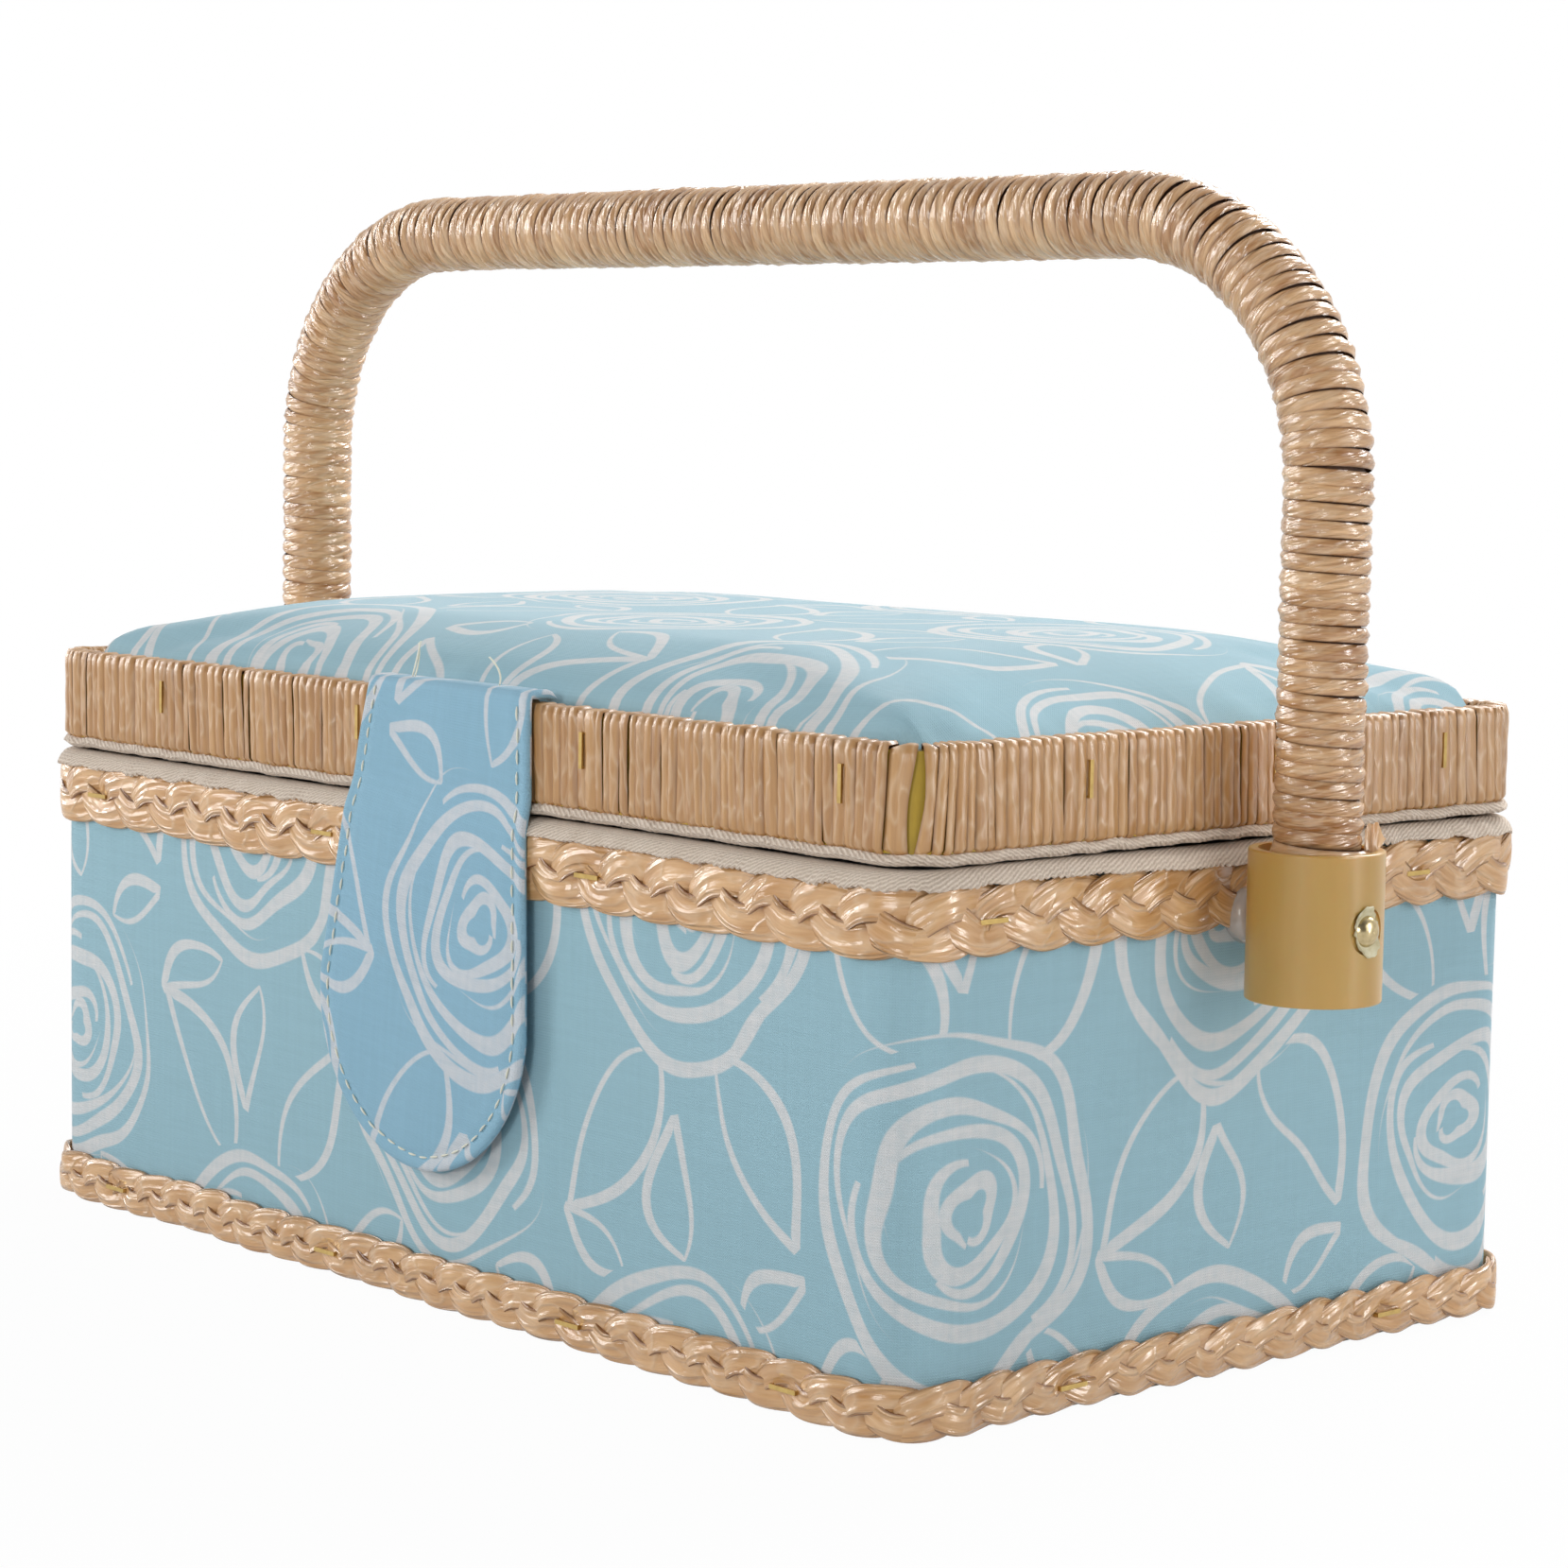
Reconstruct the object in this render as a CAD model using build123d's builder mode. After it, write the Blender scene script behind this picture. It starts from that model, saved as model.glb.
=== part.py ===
from build123d import *
import math
import os

os.makedirs("parts", exist_ok=True)

# Sewing box: cloth-covered box, padded lid, closing tab, tray and swinging wrapped handle.
# X runs along the box, -Y is the front with the tab, Z = 0 is the table. Sizes in millimetres.

# Box body, measured over its printed cloth
box_length = 249.2
box_depth = 152.2
box_height = 90.5
corner_radius = 10.0
board = 2.4
cloth = 0.5
lining = 0.4
base_thickness = 3.0
base_card = 0.8

# Woven cotton tapes that bind the two edges at the parting line
tape = 0.6
body_tape_width = 2.5
body_tape_turn_in = 8.0
lid_tape_height = 2.0
parting_gap = 0.6

# Plaited straw braids round the box
upper_braid_width = 11.7
upper_braid_thickness = 1.3
foot_braid_width = 9.0
foot_braid_thickness = 2.0
foot_braid_lift = 0.2
braid_rounding = 0.5

# Lid rim: a flat strip wound with straw, and the padded panel inside it
rim_overhang = 0.7
rim_height = 16.9
rim_corner_radius = 10.0
rim_strip = 3.0
rim_wrap_thickness = 0.8
wrap_gap_width = 3.0
wrap_gap_height = 12.0
wrap_gap_angle = -47.0
tuck_gap = 0.1
lid_board_thickness = 2.4
lid_board_drop = 4.6
lid_lining_thickness = 1.2
pad_shoulder_drop = 1.3
pad_crown = 11.8
pad_steepness = 7.9
pad_roundness = 0.58
pad_hip = 0.9
pad_plateau = 0.5
pad_steps = 10
pincushion_length = 76.0
pincushion_width = 46.0
pincushion_thickness = 7.2
pincushion_corner = 14.0
pincushion_rounding = 4.0

# Staples
staple_wire = 0.4
staple_width = 0.8
staple_length = 6.2
staple_leg = 0.7
staple_clearance = 0.05

# Hinges on the back
hinge_spacing = 140.0
hinge_length = 22.0
hinge_sheet = 0.8
hinge_leaf_height = 12.0
hinge_barrel_radius = 1.6
hinge_pin_radius = 0.8
hinge_knuckle_length = 8.0
hinge_knuckle_gap = 0.2
hinge_barrel_gap = 0.3
hinge_outset = 2.0
pin_fit = 0.05
screw_radius = 0.8
screw_head_radius = 1.6
screw_head_height = 0.7
screw_length = 3.6
screw_spacing = 14.0

# Handle
handle_rise = 116.2
pivot_drop = 12.0
core_radius = 6.0
wrap_crest_radius = 7.5
wrap_groove_radius = 7.05
wrap_pitch = 5.6
bend_radius = 44.5
wrap_lift = 4.0

# Ferrules, rivets and spacers at the handle's pivots
ferrule_radius = 11.25
ferrule_wall = 1.6
ferrule_floor = 1.5
ferrule_height = 25.0
ferrule_rounding = 0.4
spotface_depth = 0.8
spotface_radius = 3.9
rivet_radius = 1.5
rivet_head_radius = 2.6
rivet_head_height = 1.35
rivet_tail_radius = 2.8
rivet_tail_height = 0.8
rivet_fit = 0.05
pivot_fit = 0.08
washer_thickness = 0.4
washer_radius = 3.6
inner_washer_thickness = 0.5
inner_washer_radius = 3.6
spacer_radius = 5.0
spacer_length = 4.8
spacer_rounding = 1.6
spacer_clearance = 0.2
running_gap = 0.15

# Closing tab
tab_x = 9.0
tab_tilt = 6.0
tab_top_width = 46.0
tab_end_radius = 30.0
tab_straight = 57.0
tab_thickness = 1.6
tab_fold_gap = 0.6
tab_set_out = 6.0
tab_hinge_rise = 1.8
tab_clearance = 0.3
snap_radius = 6.0
snap_socket_thickness = 1.2
snap_stud_thickness = 0.7
snap_gap = 0.3
snap_above_end = 18.0

# Tray and its supports
tray_height = 30.0
tray_wall = 1.6
tray_floor = 1.6
tray_side_gap = 2.0
tray_top_drop = 2.5
tray_corner_radius = 6.0
tray_row_offset = 8.0
tray_seat_gap = 0.1
tray_front_cells = 3
tray_back_cells = 2
support_thickness = 5.0
support_length = 120.0

# Planes of the box
cover_x = box_length / 2
cover_y = box_depth / 2
wall_x = cover_x - cloth
wall_y = cover_y - cloth
lining_x = wall_x - board
lining_y = wall_y - board
inside_x = lining_x - lining
inside_y = lining_y - lining
base_top = cloth + base_thickness
floor_top = base_top + base_card
sandwich = cloth + board + lining
upper_braid_top = box_height - body_tape_width
upper_braid_low = upper_braid_top - upper_braid_width
upper_face_x = cover_x + upper_braid_thickness
upper_face_y = cover_y + upper_braid_thickness
foot_face_x = cover_x + foot_braid_thickness
foot_face_y = cover_y + foot_braid_thickness

# Planes of the lid
rim_x = cover_x + rim_overhang
rim_y = cover_y + rim_overhang
lid_tape_low = box_height + parting_gap
rim_low = lid_tape_low + lid_tape_height
rim_top = rim_low + rim_height
rim_wall = rim_strip + 2 * rim_wrap_thickness
pad_x = rim_x - rim_wall - tuck_gap
pad_y = rim_y - rim_wall - tuck_gap
pad_radius = rim_corner_radius - rim_wall - tuck_gap
pad_base = rim_top - pad_shoulder_drop
lid_board_top = rim_top - lid_board_drop
lid_board_low = lid_board_top - lid_board_thickness
lid_lining_low = lid_board_low - lid_lining_thickness

# Axes of the moving parts
hinge_y = rim_y + hinge_outset
hinge_z = box_height + parting_gap / 2
pivot_z = box_height - pivot_drop
bar_z = pivot_z + handle_rise
leg_x = cover_x + spacer_length + running_gap + ferrule_radius
ferrule_low = pivot_z - ferrule_height / 2
spotface_x = leg_x + ferrule_radius - spotface_depth
tab_pivot_y = -(rim_y + tab_clearance + tab_thickness / 2)
tab_pivot_z = rim_low - tab_clearance
tab_back_y = -(cover_y + snap_socket_thickness + snap_gap + snap_stud_thickness)
tab_mid_y = tab_back_y - tab_thickness / 2
tab_top_z = rim_top + tab_thickness + tab_fold_gap
tray_top = box_height - tray_top_drop
tray_low = tray_top - tray_height


def ring(outer_x, outer_y, radius, wall, low, high, mode=Mode.ADD):
    """Band with rounded corners, wall thick, between two heights."""
    with BuildSketch(Plane.XY.offset(low), mode=Mode.PRIVATE) as outline:
        RectangleRounded(2 * outer_x, 2 * outer_y, radius)
        RectangleRounded(2 * (outer_x - wall), 2 * (outer_y - wall), radius - wall, mode=Mode.SUBTRACT)
    extrude(outline.sketch, amount=high - low, mode=mode)


def plate(half_x, half_y, radius, low, high, mode=Mode.ADD):
    """Plate with rounded corners between two heights."""
    with BuildSketch(Plane.XY.offset(low), mode=Mode.PRIVATE) as outline:
        RectangleRounded(2 * half_x, 2 * half_y, radius)
    extrude(outline.sketch, amount=high - low, mode=mode)


def bore_along_x(radius, mode=Mode.SUBTRACT):
    """Hole on the handle's pivot axis, right through both ends of the box."""
    with Locations((0, 0, pivot_z)):
        Cylinder(radius, 2 * (leg_x + ferrule_radius + 1), rotation=(0, 90, 0), mode=mode)


def side_spots(face_x, face_y, xs, ys, height):
    """Places on the front, back and end faces; local X points out of the face."""
    spots = [Location((x, -face_y, height), (0, 0, -90)) for x in xs]
    spots += [Location((-x, face_y, height), (0, 0, 90)) for x in xs]
    spots += [Location((face_x, y, height), (0, 0, 0)) for y in ys]
    spots += [Location((-face_x, -y, height), (0, 0, 180)) for y in ys]
    return spots


def staples(spots, upright, clearance=0.0, mode=Mode.ADD):
    """Staples with their crowns on the face and their legs in it."""
    reach = (staple_length - staple_wire) / 2
    legs = [(0, 0, reach), (0, 0, -reach)] if upright else [(0, reach, 0), (0, -reach, 0)]
    across = staple_width + 2 * clearance
    thick = staple_wire + 2 * clearance
    with Locations(*spots):
        if mode == Mode.ADD:
            crown = (staple_width, staple_length) if upright else (staple_length, staple_width)
            Box(staple_wire, *crown, align=(Align.MIN, Align.CENTER, Align.CENTER))
        with Locations(*legs):
            size = (across, thick) if upright else (thick, across)
            Box(staple_leg + clearance, *size, align=(Align.MAX, Align.CENTER, Align.CENTER), mode=mode)


def screw_spots(height):
    """Centres of the hinge screws at one height on the back."""
    xs = [side * hinge_spacing / 2 + half * screw_spacing / 2 for side in (-1, 1) for half in (-1, 1)]
    return [(x, 0, height) for x in xs]


def screw_holes(height):
    """Pilot holes for the hinge screws, from the back inwards."""
    with Locations(*[(x, hinge_y, z) for x, y, z in screw_spots(height)]):
        Cylinder(screw_radius + pin_fit, 2 * (hinge_y - screw_floor(height)), rotation=(90, 0, 0),
                 mode=Mode.SUBTRACT)


def screw_floor(height):
    """How far in from the back a screw at this height reaches."""
    return leaf_face(height) - screw_length - pin_fit


def leaf_face(height):
    """Outside of the hinge leaf: on the lid's rim above the axis, on the braid below it."""
    return (rim_y if height > hinge_z else upper_face_y) + hinge_sheet


body_screw_z = hinge_z - hinge_barrel_radius - hinge_leaf_height / 2
lid_screw_z = hinge_z + hinge_barrel_radius + hinge_leaf_height / 2

rim_spots = side_spots(rim_x, rim_y, (-83.5, -19.5, 44.5, 108.5), (-38.0, 7.0, 52.0),
                       rim_low + rim_height * 0.6)
upper_spots = side_spots(upper_face_x, upper_face_y, (-105.5, -29.5, 47.0), (-60.0, 45.0),
                         upper_braid_low + upper_braid_width / 2)
foot_spots = side_spots(foot_face_x, foot_face_y, (-98.0, -27.0, 44.0, 99.0), (-40.0, 40.0),
                        foot_braid_lift + foot_braid_width / 2)

# Box body ---------------------------------------------------------------------

with BuildPart() as base_cloth:
    plate(cover_x, cover_y, corner_radius, 0, cloth)

with BuildPart() as base_board:
    plate(lining_x, lining_y, corner_radius - cloth - board, cloth, base_top)

with BuildPart() as wall_board:
    ring(wall_x, wall_y, corner_radius - cloth, board, cloth, box_height - tape)
    bore_along_x(rivet_radius + rivet_fit)
    screw_holes(body_screw_z)

with BuildPart() as body_cover:
    ring(cover_x, cover_y, corner_radius, cloth, cloth, box_height - tape)
    bore_along_x(rivet_radius + rivet_fit)
    screw_holes(body_screw_z)

with BuildPart() as body_lining:
    ring(lining_x, lining_y, corner_radius - cloth - board, lining, base_top, box_height - tape)
    bore_along_x(rivet_radius + rivet_fit)

with BuildPart() as base_lining:
    plate(inside_x, inside_y, corner_radius - sandwich, base_top, floor_top)

with BuildPart() as body_tape:
    ring(cover_x + tape, cover_y + tape, corner_radius + tape, tape, upper_braid_top, box_height)
    ring(cover_x + tape, cover_y + tape, corner_radius + tape, sandwich + 2 * tape,
         box_height - tape, box_height)
    ring(inside_x, inside_y, corner_radius - sandwich, tape, box_height - body_tape_turn_in, box_height)

with BuildPart() as upper_braid:
    ring(upper_face_x, upper_face_y, corner_radius + upper_braid_thickness, upper_braid_thickness,
         upper_braid_low, upper_braid_top)
    rim_edges = [e for f in upper_braid.faces().filter_by(Axis.Z) for e in f.outer_wire().edges()]
    fillet(rim_edges, radius=braid_rounding)
    bore_along_x(spacer_radius + spacer_clearance)
    screw_holes(body_screw_z)
    staples(upper_spots, False, staple_clearance, Mode.SUBTRACT)

with BuildPart() as foot_braid:
    ring(foot_face_x, foot_face_y, corner_radius + foot_braid_thickness, foot_braid_thickness,
         foot_braid_lift, foot_braid_lift + foot_braid_width)
    rim_edges = [e for f in foot_braid.faces().filter_by(Axis.Z) for e in f.outer_wire().edges()]
    fillet(rim_edges, radius=braid_rounding)
    staples(foot_spots, False, staple_clearance, Mode.SUBTRACT)

with BuildPart() as upper_braid_staples:
    staples(upper_spots, False)

with BuildPart() as foot_braid_staples:
    staples(foot_spots, False)

with BuildPart() as tray_supports:
    with Locations((inside_x - support_thickness / 2, 0, floor_top),
                   (-inside_x + support_thickness / 2, 0, floor_top)):
        Box(support_thickness, support_length, tray_low - tray_seat_gap - floor_top,
            align=(Align.CENTER, Align.CENTER, Align.MIN))

# Handle pivots: rivet, washers and clear spacer at each end of the box --------

with BuildPart() as rivet_right:
    with BuildSketch(Plane.XZ.offset(0)):
        with BuildLine():
            head_x = spotface_x + running_gap + washer_thickness
            tail_x = inside_x - inner_washer_thickness
            Polyline((head_x, pivot_z + rivet_radius), (tail_x, pivot_z + rivet_radius),
                     (tail_x, pivot_z + rivet_tail_radius),
                     (tail_x - rivet_tail_height, pivot_z + rivet_radius),
                     (tail_x - rivet_tail_height, pivot_z),
                     (head_x + rivet_head_height, pivot_z))
            ThreePointArc((head_x + rivet_head_height, pivot_z),
                          (head_x + rivet_head_height * 0.72, pivot_z + rivet_head_radius * 0.7),
                          (head_x, pivot_z + rivet_head_radius))
            Line((head_x, pivot_z + rivet_head_radius), (head_x, pivot_z + rivet_radius))
        make_face()
    revolve(axis=Axis((0, 0, pivot_z), (1, 0, 0)))

with BuildPart() as spacer_right:
    with Locations((cover_x, 0, pivot_z)):
        Cylinder(spacer_radius, spacer_length, rotation=(0, 90, 0),
                 align=(Align.CENTER, Align.CENTER, Align.MIN))
    fillet(spacer_right.edges().filter_by(GeomType.CIRCLE), radius=spacer_rounding)
    bore_along_x(rivet_radius + rivet_fit)

with BuildPart() as outer_washer_right:
    with Locations((spotface_x + running_gap, 0, pivot_z)):
        Cylinder(washer_radius, washer_thickness, rotation=(0, 90, 0),
                 align=(Align.CENTER, Align.CENTER, Align.MIN))
    bore_along_x(rivet_radius + rivet_fit)

with BuildPart() as inner_washer_right:
    with Locations((inside_x - inner_washer_thickness, 0, pivot_z)):
        Cylinder(inner_washer_radius, inner_washer_thickness, rotation=(0, 90, 0),
                 align=(Align.CENTER, Align.CENTER, Align.MIN))
    bore_along_x(rivet_radius + rivet_fit)

# Hinges on the back -----------------------------------------------------------

hinge_centres = [-hinge_spacing / 2, hinge_spacing / 2]
outer_knuckle = (hinge_length - hinge_knuckle_length) / 2 - hinge_knuckle_gap
barrel_reach = hinge_barrel_radius + hinge_barrel_gap

with BuildPart() as hinge_leaves_box:
    for centre in hinge_centres:
        with Locations((centre, upper_face_y, hinge_z - barrel_reach)):
            Box(hinge_length, hinge_sheet, hinge_leaf_height,
                align=(Align.CENTER, Align.MIN, Align.MAX))
        for side in (-1, 1):
            knuckle_x = centre + side * (hinge_length - outer_knuckle) / 2
            with Locations((knuckle_x, upper_face_y, hinge_z - barrel_reach)):
                Box(outer_knuckle, hinge_sheet, barrel_reach, align=(Align.CENTER, Align.MIN, Align.MIN))
            with Locations((knuckle_x, hinge_y, hinge_z)):
                Cylinder(hinge_barrel_radius, outer_knuckle, rotation=(0, 90, 0))
    with Locations((0, hinge_y, hinge_z)):
        Cylinder(hinge_pin_radius + pin_fit, hinge_spacing + hinge_length + 1, rotation=(0, 90, 0),
                 mode=Mode.SUBTRACT)
    screw_holes(body_screw_z)

with BuildPart() as hinge_leaves_lid:
    for centre in hinge_centres:
        with Locations((centre, rim_y, hinge_z + barrel_reach)):
            Box(hinge_length, hinge_sheet, hinge_leaf_height,
                align=(Align.CENTER, Align.MIN, Align.MIN))
        with Locations((centre, rim_y, hinge_z)):
            Box(hinge_knuckle_length, hinge_sheet, barrel_reach,
                align=(Align.CENTER, Align.MIN, Align.MIN))
        with Locations((centre, hinge_y, hinge_z)):
            Cylinder(hinge_barrel_radius, hinge_knuckle_length, rotation=(0, 90, 0))
    with Locations((0, hinge_y, hinge_z)):
        Cylinder(hinge_pin_radius + pin_fit, hinge_spacing + hinge_length + 1, rotation=(0, 90, 0),
                 mode=Mode.SUBTRACT)
    screw_holes(lid_screw_z)

with BuildPart() as hinge_pins:
    with Locations(*[(centre, hinge_y, hinge_z) for centre in hinge_centres]):
        Cylinder(hinge_pin_radius, hinge_length, rotation=(0, 90, 0))


def screws(height):
    """Dome-headed screws through one row of hinge leaves."""
    face = leaf_face(height)
    with Locations(*[(x, face, z) for x, y, z in screw_spots(height)]):
        Cylinder(screw_radius, screw_length, rotation=(90, 0, 0),
                 align=(Align.CENTER, Align.CENTER, Align.MIN))
        Cone(screw_head_radius, screw_head_radius * 0.6, screw_head_height, rotation=(-90, 0, 0),
             align=(Align.CENTER, Align.CENTER, Align.MIN))


with BuildPart() as hinge_screws_box:
    screws(body_screw_z)

with BuildPart() as hinge_screws_lid:
    screws(lid_screw_z)

# Lid --------------------------------------------------------------------------

with BuildPart() as lid_tape:
    ring(rim_x - tape / 2, rim_y - tape / 2, rim_corner_radius - tape / 2, rim_wall - tape,
         lid_tape_low, rim_low)

with BuildPart() as rim_core:
    ring(rim_x - rim_wrap_thickness, rim_y - rim_wrap_thickness, rim_corner_radius - rim_wrap_thickness,
         rim_strip, rim_low, rim_top - rim_wrap_thickness)
    screw_holes(lid_screw_z)

with BuildPart() as rim_wrap:
    ring(rim_x, rim_y, rim_corner_radius, rim_wall, rim_low, rim_top)
    ring(rim_x - rim_wrap_thickness, rim_y - rim_wrap_thickness, rim_corner_radius - rim_wrap_thickness,
         rim_strip, rim_low, rim_top - rim_wrap_thickness, mode=Mode.SUBTRACT)
    corner = (rim_x - rim_corner_radius, -(rim_y - rim_corner_radius), rim_low + rim_height / 2)
    with Locations(Location(corner, (0, 0, wrap_gap_angle))):
        with Locations((rim_corner_radius, 0, 0)):
            Box(2 * rim_wrap_thickness, wrap_gap_width, wrap_gap_height, mode=Mode.SUBTRACT)
    screw_holes(lid_screw_z)
    staples(rim_spots, True, staple_clearance, Mode.SUBTRACT)

with BuildPart() as rim_staples:
    staples(rim_spots, True)

with BuildPart() as lid_board:
    plate(pad_x - cloth, pad_y - cloth, pad_radius - cloth, lid_board_low, lid_board_top)

with BuildPart() as lid_lining:
    plate(pad_x - cloth, pad_y - cloth, pad_radius - cloth, lid_lining_low, lid_board_low)


def dome(inset, base):
    """Padded crown: steep at the rim, flat on top, with softer corners as it rises."""
    for step in range(pad_steps + 1):
        share = math.sin(math.pi / 2 * step / pad_steps)
        keep = max((1 - share ** (1 / pad_roundness)) ** (1 / pad_steepness), pad_plateau)
        half_x, half_y = (pad_x - inset) * keep, (pad_y - inset) * keep
        radius = pad_radius - inset + pad_hip * (pad_y - inset - half_y)
        with BuildSketch(Plane.XY.offset(base - inset + share * pad_crown)) as section:
            RectangleRounded(2 * half_x, 2 * half_y, min(radius, 0.9 * half_y))
        yield section.sketch


with BuildPart() as pad_foam:
    plate(pad_x - cloth, pad_y - cloth, pad_radius - cloth, lid_board_top, pad_base - cloth)
    loft(Sketch() + list(dome(cloth, pad_base)), ruled=True)

with BuildPart() as pad_cover:
    plate(pad_x, pad_y, pad_radius, lid_board_low, pad_base)
    loft(Sketch() + list(dome(0, pad_base)), ruled=True)
    plate(pad_x - cloth, pad_y - cloth, pad_radius - cloth, lid_board_low, lid_board_top,
          mode=Mode.SUBTRACT)
    add(pad_foam.part, mode=Mode.SUBTRACT)

with BuildPart() as pincushion:
    with BuildSketch(Plane.XY.offset(lid_lining_low)):
        RectangleRounded(pincushion_length, pincushion_width, pincushion_corner)
    extrude(amount=-pincushion_thickness)
    fillet(pincushion.faces().sort_by(Axis.Z)[0].edges(), radius=pincushion_rounding)

# Closing tab: an anchor over the lid's rim and a flap that hangs in front -----

tab_plane = Plane(origin=(tab_x, 0, tab_top_z), z_dir=(0, -1, 0),
                  x_dir=(math.cos(math.radians(tab_tilt)), 0, -math.sin(math.radians(tab_tilt))))


def cut_to_tab():
    """Keep only what lies within the tab's outline."""
    with BuildSketch(tab_plane, mode=Mode.PRIVATE) as outline:
        with BuildLine():
            Polyline((-tab_end_radius, -tab_straight), (-tab_top_width / 2, 0),
                     (tab_top_width / 2, 0), (tab_end_radius, -tab_straight))
            ThreePointArc((tab_end_radius, -tab_straight), (0, -tab_straight - tab_end_radius),
                          (-tab_end_radius, -tab_straight))
        make_face()
    extrude(outline.sketch, amount=2 * rim_y, mode=Mode.INTERSECT)


with BuildPart() as tab_anchor:
    with BuildSketch(Plane.YZ):
        with BuildLine():
            front = -rim_y - tab_thickness
            Polyline((-rim_y, tab_pivot_z + tab_hinge_rise), (front, tab_pivot_z + tab_hinge_rise),
                     (front, rim_top + tab_thickness), (-pad_y - tuck_gap, rim_top + tab_thickness),
                     (-pad_y - tuck_gap, rim_top), (-rim_y, rim_top), close=True)
        make_face()
    extrude(amount=2 * tab_end_radius, both=True)
    cut_to_tab()

with BuildPart() as tab_flap:
    with BuildSketch(Plane.YZ):
        with BuildLine():
            Polyline((tab_pivot_y, tab_pivot_z), (tab_mid_y, tab_pivot_z - tab_set_out),
                     (tab_mid_y, tab_top_z - tab_straight - 2 * tab_end_radius))
        trace(line_width=tab_thickness)
        with Locations((tab_pivot_y, tab_pivot_z)):
            Circle(tab_thickness / 2)
    extrude(amount=2 * tab_end_radius, both=True)
    cut_to_tab()

snap_run = tab_straight + tab_end_radius - snap_above_end
snap_centre = tab_plane.from_local_coords((0, -snap_run, 0))
snap_x, snap_z = snap_centre.X, snap_centre.Z

with BuildPart() as snap_socket:
    with Locations((snap_x, -cover_y, snap_z)):
        Cylinder(snap_radius, snap_socket_thickness, rotation=(90, 0, 0),
                 align=(Align.CENTER, Align.CENTER, Align.MIN))

with BuildPart() as snap_stud:
    with Locations((snap_x, tab_back_y, snap_z)):
        Cylinder(snap_radius, snap_stud_thickness, rotation=(90, 0, 0),
                 align=(Align.CENTER, Align.CENTER, Align.MAX))

# Handle -----------------------------------------------------------------------

core_low = ferrule_low + ferrule_floor
wrap_low = core_low + wrap_lift


def handle_line(low):
    """Centre line from one leg's lower end over the bar to the other's."""
    return FilletPolyline((-leg_x, low), (-leg_x, bar_z), (leg_x, bar_z), (leg_x, low), radius=bend_radius)


with BuildPart() as handle_core:
    with BuildLine(Plane.XZ):
        handle_line(core_low)
    with BuildSketch(Plane.XY.offset(core_low)):
        with Locations((-leg_x, 0)):
            Circle(core_radius)
    sweep()
    bore_along_x(rivet_radius + pivot_fit)

with BuildLine(Plane.XZ) as wrap_line:
    handle_line(wrap_low)
wrap_path = wrap_line.wire()
ribs = round(wrap_path.length / wrap_pitch)

with BuildPart() as handle_wrap:
    for step in range(2 * ribs + 1):
        share = step / (2 * ribs)
        plane = Plane(origin=wrap_path @ share, x_dir=(0, 1, 0), z_dir=wrap_path % share)
        with BuildSketch(plane):
            Circle(wrap_crest_radius if step % 2 else wrap_groove_radius)
    loft(ruled=True)
    add(handle_core.part, mode=Mode.SUBTRACT)
    bore_along_x(rivet_radius + pivot_fit)

with BuildPart() as ferrule_right:
    with Locations((leg_x, 0, ferrule_low)):
        Cylinder(ferrule_radius, ferrule_height, align=(Align.CENTER, Align.CENTER, Align.MIN))
    fillet(ferrule_right.edges().filter_by(GeomType.CIRCLE), radius=ferrule_rounding)
    with Locations((leg_x, 0, core_low)):
        Cylinder(ferrule_radius - ferrule_wall, ferrule_height,
                 align=(Align.CENTER, Align.CENTER, Align.MIN), mode=Mode.SUBTRACT)
    with Locations((spotface_x, 0, pivot_z)):
        Cylinder(spotface_radius, 2 * spotface_depth, rotation=(0, 90, 0),
                 align=(Align.CENTER, Align.CENTER, Align.MIN), mode=Mode.SUBTRACT)
    bore_along_x(rivet_radius + pivot_fit)

# Tray -------------------------------------------------------------------------

tray_x = inside_x - tray_side_gap
tray_y = inside_y - tray_side_gap
cell_low_y = -tray_y + tray_wall
cell_high_y = tray_y - tray_wall
inner_length = 2 * (tray_x - tray_wall)

with BuildPart() as tray:
    plate(tray_x, tray_y, tray_corner_radius, tray_low, tray_top)
    rows = ((cell_low_y, -tray_row_offset - tray_wall / 2, tray_front_cells),
            (-tray_row_offset + tray_wall / 2, cell_high_y, tray_back_cells))
    for low_y, high_y, cells in rows:
        cell_length = (inner_length - (cells - 1) * tray_wall) / cells
        for cell in range(cells):
            cell_x = -inner_length / 2 + cell_length / 2 + cell * (cell_length + tray_wall)
            with BuildSketch(Plane.XY.offset(tray_low + tray_floor)):
                with Locations((cell_x, (low_y + high_y) / 2)):
                    RectangleRounded(cell_length, high_y - low_y, tray_corner_radius - tray_wall)
            extrude(amount=tray_height, mode=Mode.SUBTRACT)

# Mirror images and export -----------------------------------------------------

mirrored = {}
for name, piece in (("rivet", rivet_right), ("spacer", spacer_right), ("outer_washer", outer_washer_right),
                    ("inner_washer", inner_washer_right), ("ferrule", ferrule_right)):
    with BuildPart() as twin:
        mirror(piece.part, about=Plane.YZ)
    mirrored[name + "_left"] = twin
    mirrored[name + "_right"] = piece

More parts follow.
